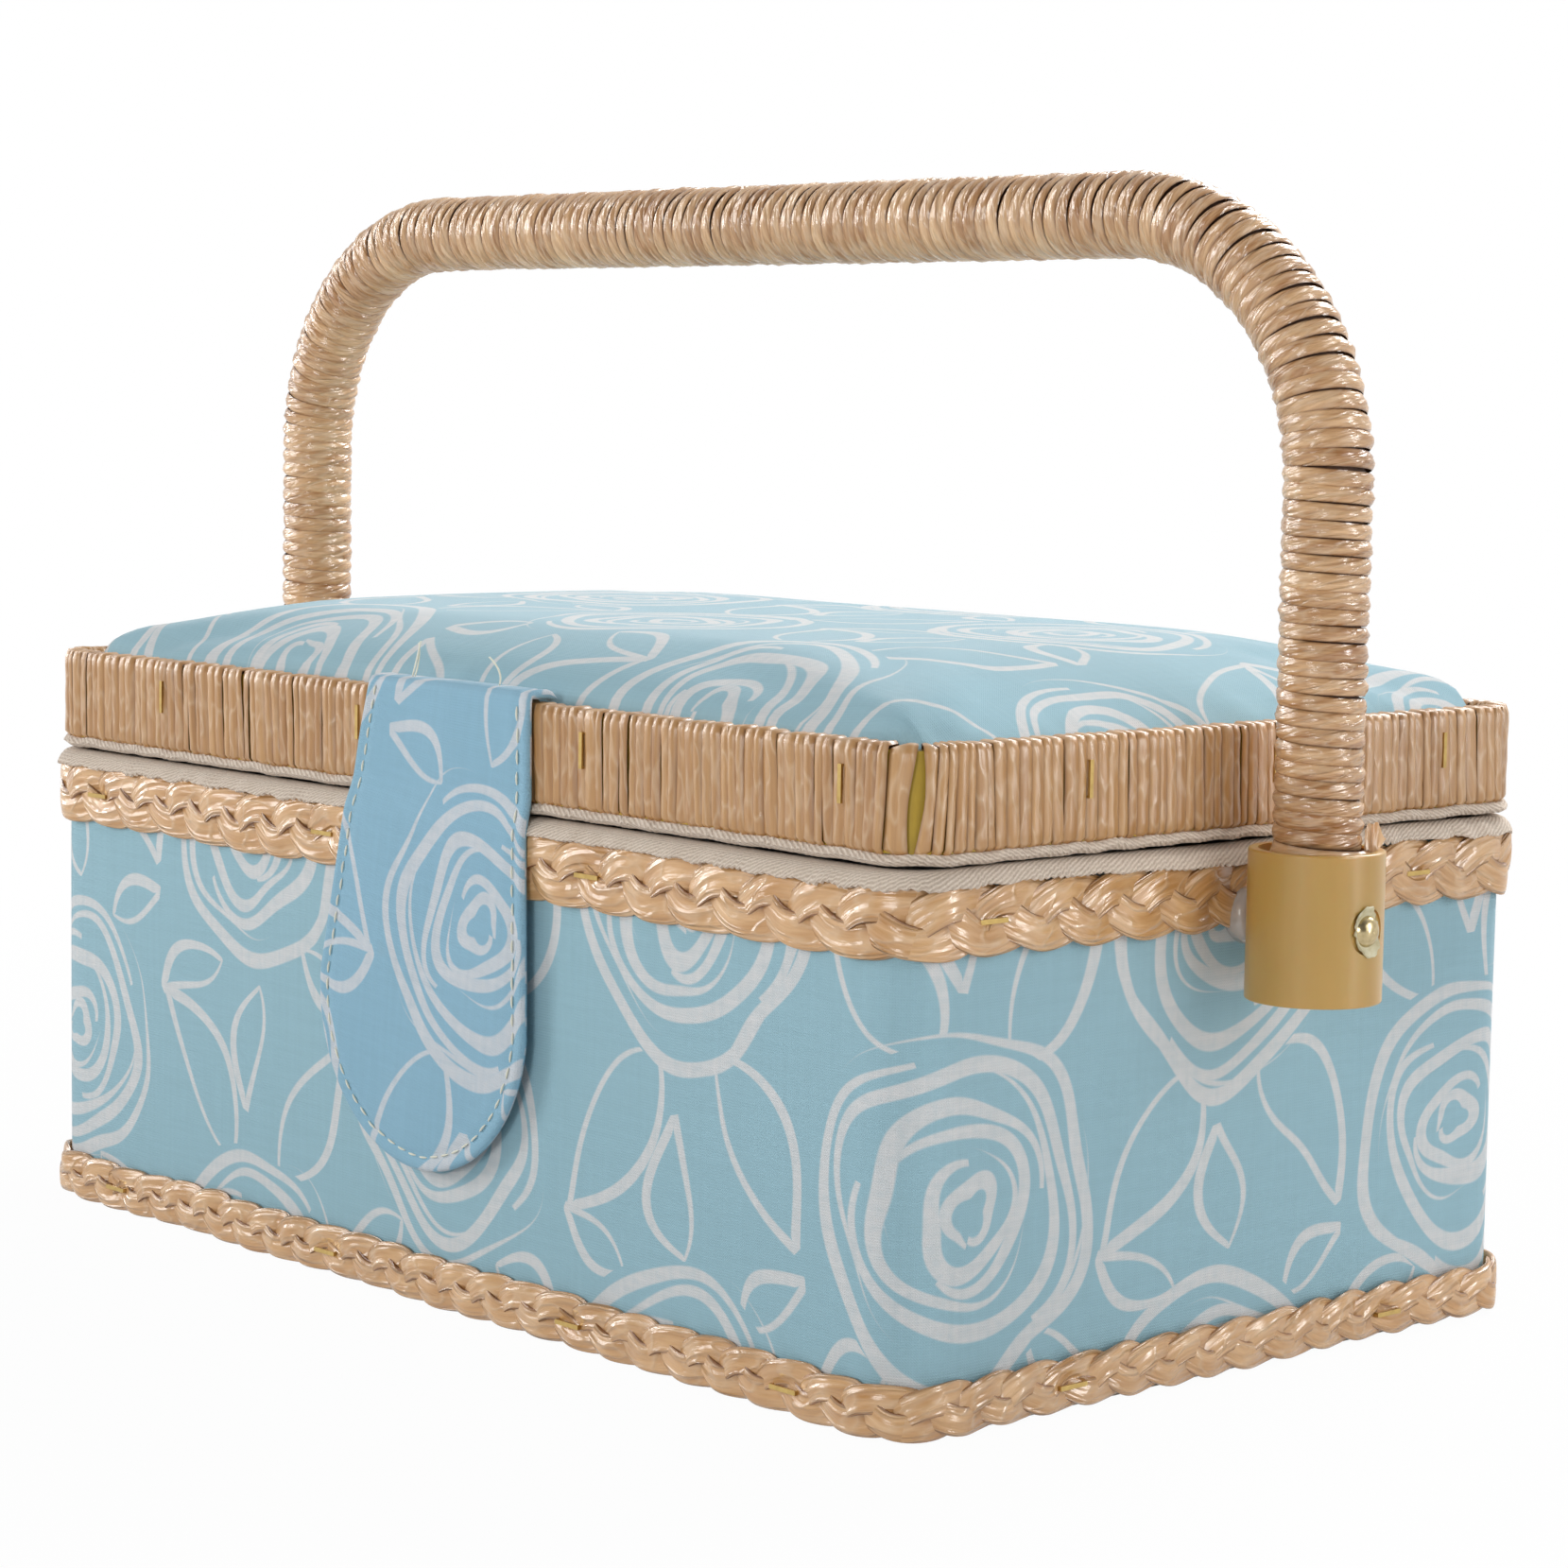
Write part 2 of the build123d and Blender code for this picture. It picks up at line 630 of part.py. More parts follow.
pieces = {
    "base_cloth": base_cloth, "base_board": base_board, "wall_board": wall_board,
    "body_cover": body_cover, "body_lining": body_lining, "base_lining": base_lining,
    "body_tape": body_tape, "upper_braid": upper_braid, "foot_braid": foot_braid,
    "upper_braid_staples": upper_braid_staples, "foot_braid_staples": foot_braid_staples,
    "tray_supports": tray_supports, "hinge_leaves_box": hinge_leaves_box,
    "hinge_leaves_lid": hinge_leaves_lid, "hinge_pins": hinge_pins,
    "hinge_screws_box": hinge_screws_box, "hinge_screws_lid": hinge_screws_lid,
    "lid_tape": lid_tape, "rim_core": rim_core, "rim_wrap": rim_wrap, "rim_staples": rim_staples,
    "lid_board": lid_board, "lid_lining": lid_lining, "pad_foam": pad_foam, "pad_cover": pad_cover,
    "pincushion": pincushion, "tab_anchor": tab_anchor, "tab_flap": tab_flap,
    "snap_socket": snap_socket, "snap_stud": snap_stud, "handle_core": handle_core,
    "handle_wrap": handle_wrap, "tray": tray, **mirrored,
}
for name, piece in pieces.items():
    piece.part.label = name
    export_step(piece.part, f"parts/{name}.step")
print(len(pieces), "pieces,", ribs, "ribs on the handle wrap")
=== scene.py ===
# %% [markdown]
# # A cloth-covered sewing box
#
# A small rigid box in printed cotton, with straw plaits round it, a padded lid, a cloth closing tab and
# a handle wound with straw ribbon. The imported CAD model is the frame: it says where each piece is and
# what it moves with. This lesson dresses it, one piece or finish at a time.

# %% Load the frame
import math

import bpy
import numpy as np
from mathutils import Matrix, Vector


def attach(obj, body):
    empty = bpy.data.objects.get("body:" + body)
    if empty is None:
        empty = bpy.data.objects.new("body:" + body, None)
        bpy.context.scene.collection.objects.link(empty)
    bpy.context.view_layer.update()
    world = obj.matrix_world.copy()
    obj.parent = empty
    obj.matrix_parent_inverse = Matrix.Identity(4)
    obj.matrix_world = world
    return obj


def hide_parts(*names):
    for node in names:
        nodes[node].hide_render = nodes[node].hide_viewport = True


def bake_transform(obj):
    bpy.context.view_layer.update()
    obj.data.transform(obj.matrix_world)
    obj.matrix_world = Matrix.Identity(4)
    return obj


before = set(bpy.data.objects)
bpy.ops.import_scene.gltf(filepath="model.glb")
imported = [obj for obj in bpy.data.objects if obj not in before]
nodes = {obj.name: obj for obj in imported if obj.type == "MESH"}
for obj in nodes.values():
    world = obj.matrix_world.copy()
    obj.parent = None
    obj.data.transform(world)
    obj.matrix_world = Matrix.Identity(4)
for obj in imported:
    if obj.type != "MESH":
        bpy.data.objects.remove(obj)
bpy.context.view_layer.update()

MM = 0.001
scene = bpy.context.scene

# %% [markdown]
# ## The camera
#
# A camera can be placed by eye, or worked out from the edges of the box in the picture. The second way
# is used, because it gives the true direction, distance and lens. The view is from the front right,
# slightly above, with the camera rolled by almost a degree.

# %% Place the camera
CAMERA_PLACE, LENS, SENSOR = (0.5483, -0.4880, 0.1651), 88.9, 36.0      # metres, and mm for the lens
azimuth, elevation, roll = (math.radians(angle) for angle in (47.77, 5.89, 0.94))
back = Vector((math.sin(azimuth) * math.cos(elevation), -math.cos(azimuth) * math.cos(elevation),
               math.sin(elevation)))
right = (-back).cross(Vector((0, 0, 1))).normalized()
up = back.cross(right)
turned_right = right * math.cos(roll) + up * math.sin(roll)
turned_up = up * math.cos(roll) - right * math.sin(roll)
bpy.ops.object.camera_add()
camera = bpy.context.object
camera.matrix_world = (Matrix.Translation(CAMERA_PLACE)
                       @ Matrix((turned_right, turned_up, back)).transposed().to_4x4())
camera.data.lens, camera.data.sensor_width = LENS, SENSOR
scene.camera = camera
scene.view_settings.view_transform = "Standard"
print("camera at", [round(x, 3) for x in camera.matrix_world.translation])

# %% [markdown]
# ## Formulas in a material
#
# The studio's white, the print, the weave and the straw are formulas. Wired by hand, a formula takes a
# screen full of Math nodes. This small class lets it be written as a line of sums instead: each sign adds
# one Math node.

# %% A number that formulas can be written with
TURN = 2 * math.pi


def new_node(tree, kind, *values, **settings):
    """A new node with its settings. Its inlets, in order, are linked to a Wire or socket or set to a value."""
    node = tree.nodes.new("ShaderNode" + kind)
    for name, value in settings.items():
        setattr(node, name, value)
    for inlet, value in zip(node.inputs, values):
        source = value.socket if isinstance(value, Wire) else value
        if isinstance(source, bpy.types.NodeSocket):
            tree.links.new(source, inlet)
        else:
            inlet.default_value = source
    return node


class Wire:
    """One output of a node tree, with the usual signs"""

    def __init__(self, tree, socket):
        self.tree, self.socket = tree, socket

    def do(self, operation, *others, clamp=False):
        node = new_node(self.tree, "Math", self, *others, operation=operation, use_clamp=clamp)
        return Wire(self.tree, node.outputs[0])

    def __add__(self, other):
        return self.do("ADD", other)

    def __sub__(self, other):
        return self.do("SUBTRACT", other)

    def __mul__(self, other):
        return self.do("MULTIPLY", other)

    def times_plus(self, factor, extra, clamp=False):
        return self.do("MULTIPLY_ADD", factor, extra, clamp=clamp)

    def size(self):
        return self.do("ABSOLUTE")

    def part(self):
        return self.do("FRACT")

    def sine(self):
        return self.do("SINE")

    def ramp(self, start, end, first, last):
        """From first to last while this goes from start to end, and level beyond them"""
        return Wire(self.tree, new_node(self.tree, "MapRange", self, start, end, first, last).outputs[0])


def highest(wires):
    """The largest of several numbers"""
    most, *others = wires
    for wire in others:
        most = most.do("MAXIMUM", wire)
    return most


def split(tree, socket):
    """The three numbers of a vector"""
    return [Wire(tree, out) for out in new_node(tree, "SeparateXYZ", socket).outputs]


def join(tree, *values):
    """A vector from numbers"""
    return new_node(tree, "CombineXYZ", *values).outputs[0]


def noise(tree, vector, scale, detail=2.0, rough=0.5, stretch=(1, 1, 1)):
    """Cloudy noise from 0 to 1; scale is in lumps to the metre"""
    mapping = new_node(tree, "Mapping", vector)
    mapping.inputs["Scale"].default_value = stretch
    node = new_node(tree, "TexNoise", mapping.outputs[0])
    for name, value in (("Scale", scale), ("Detail", detail), ("Roughness", rough)):
        node.inputs[name].default_value = value
    return Wire(tree, node.outputs[0])


def mix(tree, share, one, two):
    """Colour one where share is 0, and two where it is 1"""
    node = new_node(tree, "Mix", share, data_type="RGBA")
    for inlet, value in zip(node.inputs[6:8], (one, two)):
        if isinstance(value, tuple):
            inlet.default_value = (*value, 1)
        else:
            tree.links.new(value, inlet)
    return node.outputs[2]


def coat(tree, shader, colour, height, depth):
    """Gives the shader its colour, and raises it by height, from 0 to 1, times depth in metres"""
    node = new_node(tree, "Bump")
    node.inputs["Distance"].default_value = depth
    tree.links.new(height.socket, node.inputs["Height"])
    tree.links.new(node.outputs[0], shader.inputs["Normal"])
    tree.links.new(colour, shader.inputs["Base Color"])


def finish(name, colour=(0.5, 0.5, 0.5), **values):
    """A new material: its tree and its shader, with the plain values set"""
    material = bpy.data.materials.new(name)
    material.use_nodes = True
    shader = material.node_tree.nodes["Principled BSDF"]
    shader.inputs["Base Color"].default_value = (*colour, 1)
    for key, value in values.items():
        shader.inputs[key.replace("_", " ")].default_value = value
    return material, material.node_tree, shader


def place_of(tree, kind="UV"):
    """Where on the piece we are: its own UV map in metres, or another kind of coordinates"""
    return new_node(tree, "TexCoord").outputs[kind]


print("formula helpers ready")

# %% [markdown]
# ## The studio
#
# A product picture has a white ground with no edge. Turning the lamps up until the floor burns out would
# also bleach the cloth. So the floor and the world show themselves as white to the camera and to
# reflections only, and light the box at a plain level. Part of the floor's own shading stays, for the shadow.

# %% Floor, world and lamps
WHITE_SHARE = 0.97       # how much of the floor near the box is plain white to the camera
NEAR, FAR = 0.25, 0.55   # metres from the middle between which the floor turns all white
WORLD_LEVEL, DARK_SIDE = 0.3, 0.2
AIM = Vector((0, 0, 0.08))


def seen_white(tree):
    """1 for rays that come from the camera, a reflection or glass, and 0 for the light on the box"""
    rays = new_node(tree, "LightPath").outputs
    return highest(Wire(tree, rays[name]) for name in ("Is Camera Ray", "Is Glossy Ray", "Is Transmission Ray"))


world = bpy.data.worlds.new("studio")
scene.world = world
world.use_nodes = True
tree = world.node_tree
# the room is dark on the camera's side, and the straw's gloss shows that
facing = new_node(tree, "VectorMath", place_of(tree, "Generated"), back, operation="DOT_PRODUCT")
dim = Wire(tree, facing.outputs["Value"]).ramp(-0.3, 0.6, 1.0, DARK_SIDE)
glossy = Wire(tree, new_node(tree, "LightPath").outputs["Is Glossy Ray"])
strength = seen_white(tree).ramp(0, 1, WORLD_LEVEL, 1.0) * glossy.ramp(0, 1, 1.0, dim)
backdrop = tree.nodes["Background"].inputs
backdrop["Color"].default_value = (1, 1, 1, 1)
tree.links.new(strength.socket, backdrop["Strength"])

bpy.ops.mesh.primitive_plane_add(size=8, location=(0, 0, 0))
floor = bpy.context.object
floor.name = "floor"
paint, tree, matt = finish("studio_floor", (0.7, 0.7, 0.7), Roughness=1.0, Specular_IOR_Level=0.0)
# near the box some of the floor's own shading stays, and further off it is all white
away = new_node(tree, "VectorMath", place_of(tree, "Object"), operation="LENGTH")
share = seen_white(tree) * Wire(tree, away.outputs["Value"]).ramp(NEAR, FAR, WHITE_SHARE, 1.0)
surface = new_node(tree, "MixShader", share, matt.outputs[0], new_node(tree, "Emission").outputs[0])
tree.links.new(surface.outputs[0], tree.nodes["Material Output"].inputs["Surface"])
floor.data.materials.append(paint)


def softbox(name, place, wide, tall, power, only_gloss=False):
    """A rectangular lamp that faces the box. only_gloss: a reflector, which only shows in shiny straw."""
    bpy.ops.object.light_add(type="AREA", location=place)
    lamp = bpy.context.object
    lamp.data.shape = "RECTANGLE"
    lamp.name, lamp.data.size, lamp.data.size_y, lamp.data.energy = name, wide, tall, power
    lamp.rotation_euler = (AIM - lamp.location).to_track_quat("-Z", "Y").to_euler()
    lamp.visible_diffuse = not only_gloss


softbox("softbox_top", (-0.1, 0.95, 0.95), 0.8, 0.6, 17.0)
softbox("softbox_right", (1.2, 0.3, 0.5), 0.9, 0.8, 4.3)
softbox("softbox_left", (-0.8, -0.8, 0.45), 0.45, 0.5, 4.7)
softbox("softbox_front", (0.5, -1.2, 0.35), 0.4, 0.4, 4.0)
softbox("strip_right", (1.2, 0.42, 0.4), 0.16, 0.9, 7.5, only_gloss=True)
softbox("strip_left", (-1.2, -0.3, 0.45), 0.2, 0.6, 5.5, only_gloss=True)
softbox("strip_high", (-0.9, -0.3, 0.95), 0.4, 0.4, 4.0, only_gloss=True)
print("floor, world, four softboxes and three reflectors")

# %% [markdown]
# ## The rose print
#
# The cloth is printed with roses and leaves in loose pale lines. A picture would blur close up and needs
# a file. Here each rose is a set of curved brush strokes round a centre: a stroke is the place where the
# distance from the centre is close to a slowly growing radius. The roses stand in columns, every second
# column half a step lower, each turned by its own random angle, with leaves tucked in behind them.

# %% Draw the roses and leaves
COLUMN, STEP = 62.0, 88.0          # mm between columns, and between roses in a column
# radius of each stroke in mm, where it starts, its share of a turn, how far it winds, its waves and petals
STROKES = [
    (4.2, 0.10, 0.95, 0.9, 0.7, 3), (8.2, 0.55, 0.80, 1.8, 0.8, 3), (11.8, 0.15, 0.72, 2.6, 0.9, 3),
    (15.2, 0.80, 0.78, -2.4, 1.0, 4), (19.0, 0.35, 0.70, 2.8, 1.2, 3), (22.6, 0.95, 0.66, -2.6, 1.3, 4),
    (25.6, 0.50, 0.62, 2.4, 1.2, 3), (27.0, 0.12, 0.56, 1.6, 1.4, 5)]
ROSE_EDGE = 27.5
# where each leaf starts between two roses, in mm, its direction in degrees and its length
LEAVES = [(-6, 19, -127, 37), (9, 20, -53, 35), (1, -15, 98, 24), (-13, -20, 152, 20), (15, -22, 28, 18)]


def turned(x, y, angle):
    """x and y on a sheet of paper that is turned by the angle"""
    if isinstance(angle, Wire):
        cosine, sine = angle.do("COSINE"), angle.sine()
        return x * cosine + y * sine, y * cosine - x * sine
    cosine, sine = math.cos(angle), math.sin(angle)
    return x.times_plus(cosine, y * sine), x.times_plus(-sine, y * cosine)


def cell(tree, x, y, shift):
    """The place inside the nearest cell of the half-drop layout, and a random number for that cell"""
    across = x * (1 / COLUMN)
    column = across.do("FLOOR")
    down = y.times_plus(1 / STEP, column.times_plus(0.5, shift))
    random = new_node(tree, "TexWhiteNoise", join(tree, column, down.do("FLOOR")), noise_dimensions="2D")
    return (across.part().times_plus(COLUMN, -COLUMN / 2), down.part().times_plus(STEP, -STEP / 2),
            Wire(tree, random.outputs["Value"]))


def draw_print():
    """The print as a node group: UV in metres goes in, 1 comes out on a drawn line"""
    group = bpy.data.node_groups.new("rose_print", "ShaderNodeTree")
    group.interface.new_socket("Vector", in_out="INPUT", socket_type="NodeSocketVector")
    group.interface.new_socket("Line", in_out="OUTPUT", socket_type="NodeSocketFloat")
    inlet = group.nodes.new("NodeGroupInput").outputs[0]
    # the lines sway a little, as if drawn by hand
    x, y = (place.times_plus(1000, noise(group, inlet, 38, 0, stretch=stretch).times_plus(7, -3.5))
            for place, stretch in zip(split(group, inlet), ((1, 1, 1), (1, -1, 1))))
    rose_x, rose_y, chance = cell(group, x, y, 0.0)
    rose_x, rose_y = turned(rose_x, rose_y, chance * TURN)
    smaller = (chance * 5).part().times_plus(0.16, 0.94)
    rose_x, rose_y = rose_x * smaller, rose_y * smaller
    away = (rose_x * rose_x + rose_y * rose_y).do("SQRT")
    round_it = rose_y.do("ARCTAN2", rose_x) * (1 / TURN)
    strokes, leaves = [], []
    for radius, start, share, wind, wave, petals in STROKES:
        along = (round_it + start).part()
        path = along.times_plus(wind / share, radius - wind / 2) + (along * (TURN * petals)).sine() * wave
        width = (along * (math.pi / share)).sine().times_plus(0.95, 0.5)
        strokes.append((width - (away - path).size()).times_plus(3, 0.5, clamp=True))
    leaf_x, leaf_y, chance = cell(group, x, y, 0.5)
    leaf_x = leaf_x * chance.do("GREATER_THAN", 0.5).times_plus(2, -1)
    leaf_y = leaf_y * (chance * 8).part().do("GREATER_THAN", 0.5).times_plus(2, -1)
    for base_x, base_y, direction, length in LEAVES:
        angle = math.radians(direction)
        middle_x, middle_y = base_x + length / 2 * math.cos(angle), base_y + length / 2 * math.sin(angle)
        forward, aside = turned(leaf_x - middle_x, leaf_y - middle_y, angle)
        share = forward * (2 / length)
        aside = aside + (share * share).times_plus(0.06 * length, -0.03 * length)
        edge = (share * share).times_plus(-1, 1) * share.times_plus(-0.07 * length, 0.21 * length)
        width = share.times_plus(0.25, 0.9) + aside.do("SIGN") * 0.25
        outline = (width - (aside.size() - edge).size()).times_plus(3, 0.5, clamp=True)
        leaves.append(outline * share.size().do("LESS_THAN", 1.03))
    line = highest([*strokes, highest(leaves) * away.do("GREATER_THAN", ROSE_EDGE)])
    group.links.new(line.socket, group.nodes.new("NodeGroupOutput").inputs[0])
    return group


rose_print = draw_print()
print("rose print:", len(rose_print.nodes), "nodes")

# %% [markdown]
# ## The cloths
#
# Poplin is a plain weave with fine ribs, about two threads to the millimetre. The threads are too fine
# to model, so they are a bump, with a little colour from thread to thread and painted shade in the low
# parts of the weave. Printed ink stains the threads and doesn't hide them, so both colours get the same weave.

# %% Mix the cloths
THREAD = 0.00046                   # metres from thread to thread
SOIL = (0.36, 0.33, 0.28)          # the colour of faint spots on the tab


def weave(tree, place):
    """Height of a plain weave, and the streaks of its uneven threads"""
    u, v, _ = split(tree, place)
    along, across = (u * (TURN / THREAD)).sine(), (v * (TURN / THREAD)).sine()
    knots_and_ribs = (along * across).times_plus(0.3, 0.5) + across * 0.2
    slubs = noise(tree, place, 900, 1, stretch=(0.05, 1, 1)) + noise(tree, place, 900, 1, stretch=(1, 0.05, 1))
    return knots_and_ribs, slubs * 0.5


def cloth(name, ground, ink=None, soil=0.0):
    """Poplin of one colour, or printed with the roses"""
    material, tree, shader = finish(name, ground, Roughness=0.85, Sheen_Weight=0.5, Sheen_Roughness=0.18,
                                    Specular_IOR_Level=0.25)
    place = place_of(tree)
    height, slubs = weave(tree, place)
    colour = ground
    if ink:
        line = Wire(tree, new_node(tree, "Group", place, node_tree=rose_print).outputs[0])
        worn = noise(tree, place, 500, 2).times_plus(0.5, 0.72, clamp=True)
        colour = mix(tree, line * worn, ground, ink)
    deeper = tuple(value * 0.72 for value in ground)
    # deeper along the uneven threads, the cloth's own streaks, and painted shade in the low parts of the weave
    shade = slubs.times_plus(1.6, -0.55, clamp=True)
    colour = mix(tree, (shade + height.times_plus(-0.5, 0.4)) * 0.32, colour, deeper)
    if soil:
        spots = noise(tree, place, 55, 3, 0.6).times_plus(6, -3.9, clamp=True)
        colour = mix(tree, spots * soil, colour, SOIL)
    coat(tree, shader, colour, height + slubs, 0.00007)
    return material


printed = cloth("printed_poplin", (0.345, 0.553, 0.64), (0.74, 0.745, 0.75))
printed_tab = cloth("printed_poplin_tab", (0.295, 0.515, 0.66), (0.68, 0.71, 0.75), soil=0.12)
lining = cloth("cream_lining", (0.78, 0.75, 0.66))
print("cloths:", printed.name, printed_tab.name, lining.name)

# %% [markdown]
# ## Twill tape, straw and the rest
#
# Twill has slanting ribs, so its bump is a sine of both directions, and its colour is paler on the ribs and
# darker between them, which is painted light and shade. The straw is a shiny split ribbon: long fibres
# along it, creases a little askew to them, and each turn of its own tone. Its pieces carry a UV map in
# metres, u along the ribbon, v across it, a number called lot for the tone, and a number for the painted
# shade where the straw is tucked in.

# %% Tape, thread and straw
TWILL = 0.0014                     # metres from rib to rib
FOLD_HIGHLIGHT = (0.86, 0.68, 0.48)    # painted highlight along a sharp fold in straw


def tape_finish():
    material, tree, shader = finish("twill_tape", Roughness=0.9, Sheen_Weight=0.2)
    place = place_of(tree)
    u, v, _ = split(tree, place)
    ribs = (u.times_plus(1.0, v * 1.9) * (TURN / TWILL)).sine().times_plus(0.5, 0.5)
    fuzz = noise(tree, place, 2600, 3, 0.7)
    # paler where the ribs and fuzz stand up and darker between them: painted light and painted shade on the
    # weave
    high = (ribs * 0.45 + fuzz).times_plus(1.1, -0.32, clamp=True)
    coat(tree, shader, mix(tree, high, (0.46, 0.35, 0.26), (0.92, 0.81, 0.69)), ribs * 0.6 + fuzz, 0.00015)
    return material


def number_from(tree, attribute):
    return Wire(tree, new_node(tree, "Attribute", attribute_name=attribute).outputs["Fac"])


def straw_finish(name, pale, deep, shade, gloss=0.24, crease=0.0003, apart=0.0, slant=0.06, long=0.07,
                 spread=2.6, ridge=1.0):
    """Split shiny straw: fibres, slanting creases, ridges along it and a tone for each lot, with painted
    highlights on its sharp folds and painted shade, in the shade's colour, where it is tucked in and along
    its edges. apart moves the pattern from lot to lot, where lots are separate strips."""
    material, tree, shader = finish(name, Specular_IOR_Level=0.85)
    lot, tuck_shade = number_from(tree, "lot"), number_from(tree, "tuck_shade")
    u, v, _ = split(tree, place_of(tree))
    fibres = noise(tree, join(tree, u, v, lot * apart), 2300, 2, 0.6, stretch=(0.05, 1, 1))
    slanted = join(tree, u, v.times_plus(1, u * slant), lot * apart)
    creases = noise(tree, slanted, 900, 2, 0.55, stretch=(long, 1, 1))
    folds = (noise(tree, slanted, 420, 1, stretch=(0.3, 1, 1)) - 0.5).size().times_plus(-14, 1, clamp=True)
    ridges = (noise(tree, slanted, 560, 1, stretch=(0.05, 1, 1)) - 0.5).size().times_plus(-6, 1, clamp=True)
    # paler where fibres and creases stand up and deeper in their hollows: partly the straw's own streaks,
    # partly painted light and shade; each lot shifts the tone
    tone = (fibres * 0.4 + creases * 0.6).times_plus(spread, lot.times_plus(0.5, 0.25 - spread / 2), clamp=True)
    colour = mix(tree, tone, deep, pale)
    # painted highlight along the sharp folds
    colour = mix(tree, folds * 0.25, colour, FOLD_HIGHLIGHT)
    # painted shade: the straw darkens towards the shade's colour where it is tucked in and along its edges
    colour = mix(tree, (tuck_shade + fibres.times_plus(0.6, -0.3)).times_plus(1, 0, clamp=True) * tuck_shade, colour, shade)
    tree.links.new(creases.times_plus(0.25, gloss - 0.12).socket, shader.inputs["Roughness"])
    coat(tree, shader, colour, fibres * 0.3 + creases * 0.9 + folds * 0.35 + ridges * ridge, crease)
    return material


twill = tape_finish()
thread, _, _ = finish("cream_thread", (0.80, 0.79, 0.66), Roughness=0.7, Sheen_Weight=0.3)
straw_rim = straw_finish("straw_rim", (0.60, 0.335, 0.13), (0.38, 0.175, 0.052), (0.24, 0.10, 0.025),
                         gloss=0.36, crease=0.00014, apart=0.05, slant=0.03, long=0.04, spread=1.7, ridge=0.0)
straw_handle = straw_finish("straw_handle", (0.82, 0.525, 0.28), (0.38, 0.165, 0.052), (0.14, 0.05, 0.015),
                            gloss=0.22, slant=0.25, long=0.1, ridge=0.6)
straw_plait = straw_finish("straw_plait", (0.79, 0.49, 0.245), (0.54, 0.27, 0.092), (0.22, 0.07, 0.014))
print("tape, thread and three straws")

# %% Plastics, metals, boards


def speckled(name, colour, other, scale, depth, stretch=(1, 1, 1), **values):
    """A finish whose colour and surface vary with cloudy noise"""
    material, tree, shader = finish(name, colour, **values)
    lumps = noise(tree, place_of(tree, "Object"), scale, 4, 0.6, stretch=stretch)
    coat(tree, shader, mix(tree, lumps.times_plus(2.0, -0.5, clamp=True), colour, other), lumps, depth)
    return material


ochre = speckled("ochre_plastic", (0.56, 0.345, 0.095), (0.49, 0.29, 0.07), 60, 0.00005, stretch=(1, 1, 0.3),
                 Roughness=0.33, Coat_Weight=0.15, Subsurface_Weight=0.25, Subsurface_Scale=0.004)
clear = speckled("clear_plastic", (0.93, 0.90, 0.87), (0.88, 0.85, 0.82), 300, 0.00004,
                 Roughness=0.15, Transmission_Weight=0.7, IOR=1.5)
brass = speckled("brass", (0.62, 0.44, 0.16), (0.45, 0.30, 0.10), 700, 0.00002, Roughness=0.28, Metallic=1.0)
rivet_brass = speckled("rivet_brass", (0.60, 0.49, 0.29), (0.42, 0.33, 0.17), 900, 0.00003,
                       Roughness=0.25, Metallic=1.0)
nickel = speckled("nickel", (0.62, 0.61, 0.58), (0.50, 0.49, 0.46), 700, 0.00002, Roughness=0.3, Metallic=1.0)
olive = speckled("olive_strip", (0.54, 0.355, 0.024), (0.42, 0.265, 0.017), 500, 0.00005, Roughness=0.45,
                 stretch=(1, 1, 0.3))
board = speckled("grey_board", (0.42, 0.37, 0.29), (0.33, 0.29, 0.22), 900, 0.0001, Roughness=0.95)
rod = speckled("brown_rod", (0.13, 0.055, 0.025), (0.07, 0.03, 0.015), 500, 0.0001, Roughness=0.8)
foam = speckled("foam", (0.80, 0.74, 0.55), (0.68, 0.61, 0.42), 1200, 0.0003, Roughness=1.0)
cream_plastic = speckled("cream_plastic", (0.83, 0.83, 0.80), (0.79, 0.79, 0.76), 400, 0.00003, Roughness=0.35)
ragged = speckled("pale_ring", (0.72, 0.68, 0.50), (0.55, 0.48, 0.26), 900, 0.0001, Roughness=0.6)

CARRIED_OVER = {
    ochre: "ferrule_left ferrule_right", clear: "spacer_left spacer_right",
    rivet_brass: "rivet_left rivet_right",
    brass: "upper_braid_staples foot_braid_staples rim_staples hinge_leaves_box hinge_leaves_lid hinge_pins "
           "hinge_screws_box hinge_screws_lid",
    nickel: "inner_washer_left inner_washer_right snap_socket snap_stud",
    olive: "rim_core", board: "base_board wall_board lid_board", rod: "handle_core",
    cream_plastic: "tray", lining: "tray_supports"}
for material, names in CARRIED_OVER.items():
    for name in names.split():
        for place in nodes[name].material_slots:
            place.material = material
print("carried over:", sum(len(names.split()) for names in CARRIED_OVER.values()), "CAD nodes")

# %% [markdown]
# ## Laying a piece along a line
#
# Plaits, tapes, windings and cloths all start flat and end up round the box or along the handle. A Curve
# modifier does this too, but here the line is known exactly: straights and quarter circles. So a piece is
# made flat, with x along the line, y outward and z across, and one function lays it along the line.

# %% Making and changing pieces
ARC_STEPS = 60
HINGE_X, HINGE_HALF, HINGE_EASE = 70 * MM, 11 * MM, 5 * MM
COVER_X, COVER_Y, CORNER = 124.6 * MM, 76.1 * MM, 10 * MM


def pick(*pieces):
    """Only these pieces are selected, and the first is active"""
    bpy.ops.object.select_all(action="DESELECT")
    for piece in pieces:
        piece.select_set(True)
    bpy.context.view_layer.objects.active = pieces[0]


def edit(piece, operator, **values):
    """One operator in edit mode, on the whole mesh"""
    pick(piece)
    bpy.ops.object.mode_set(mode="EDIT")
    bpy.ops.mesh.select_all(action="SELECT")
    operator(**values)
    bpy.ops.object.mode_set(mode="OBJECT")


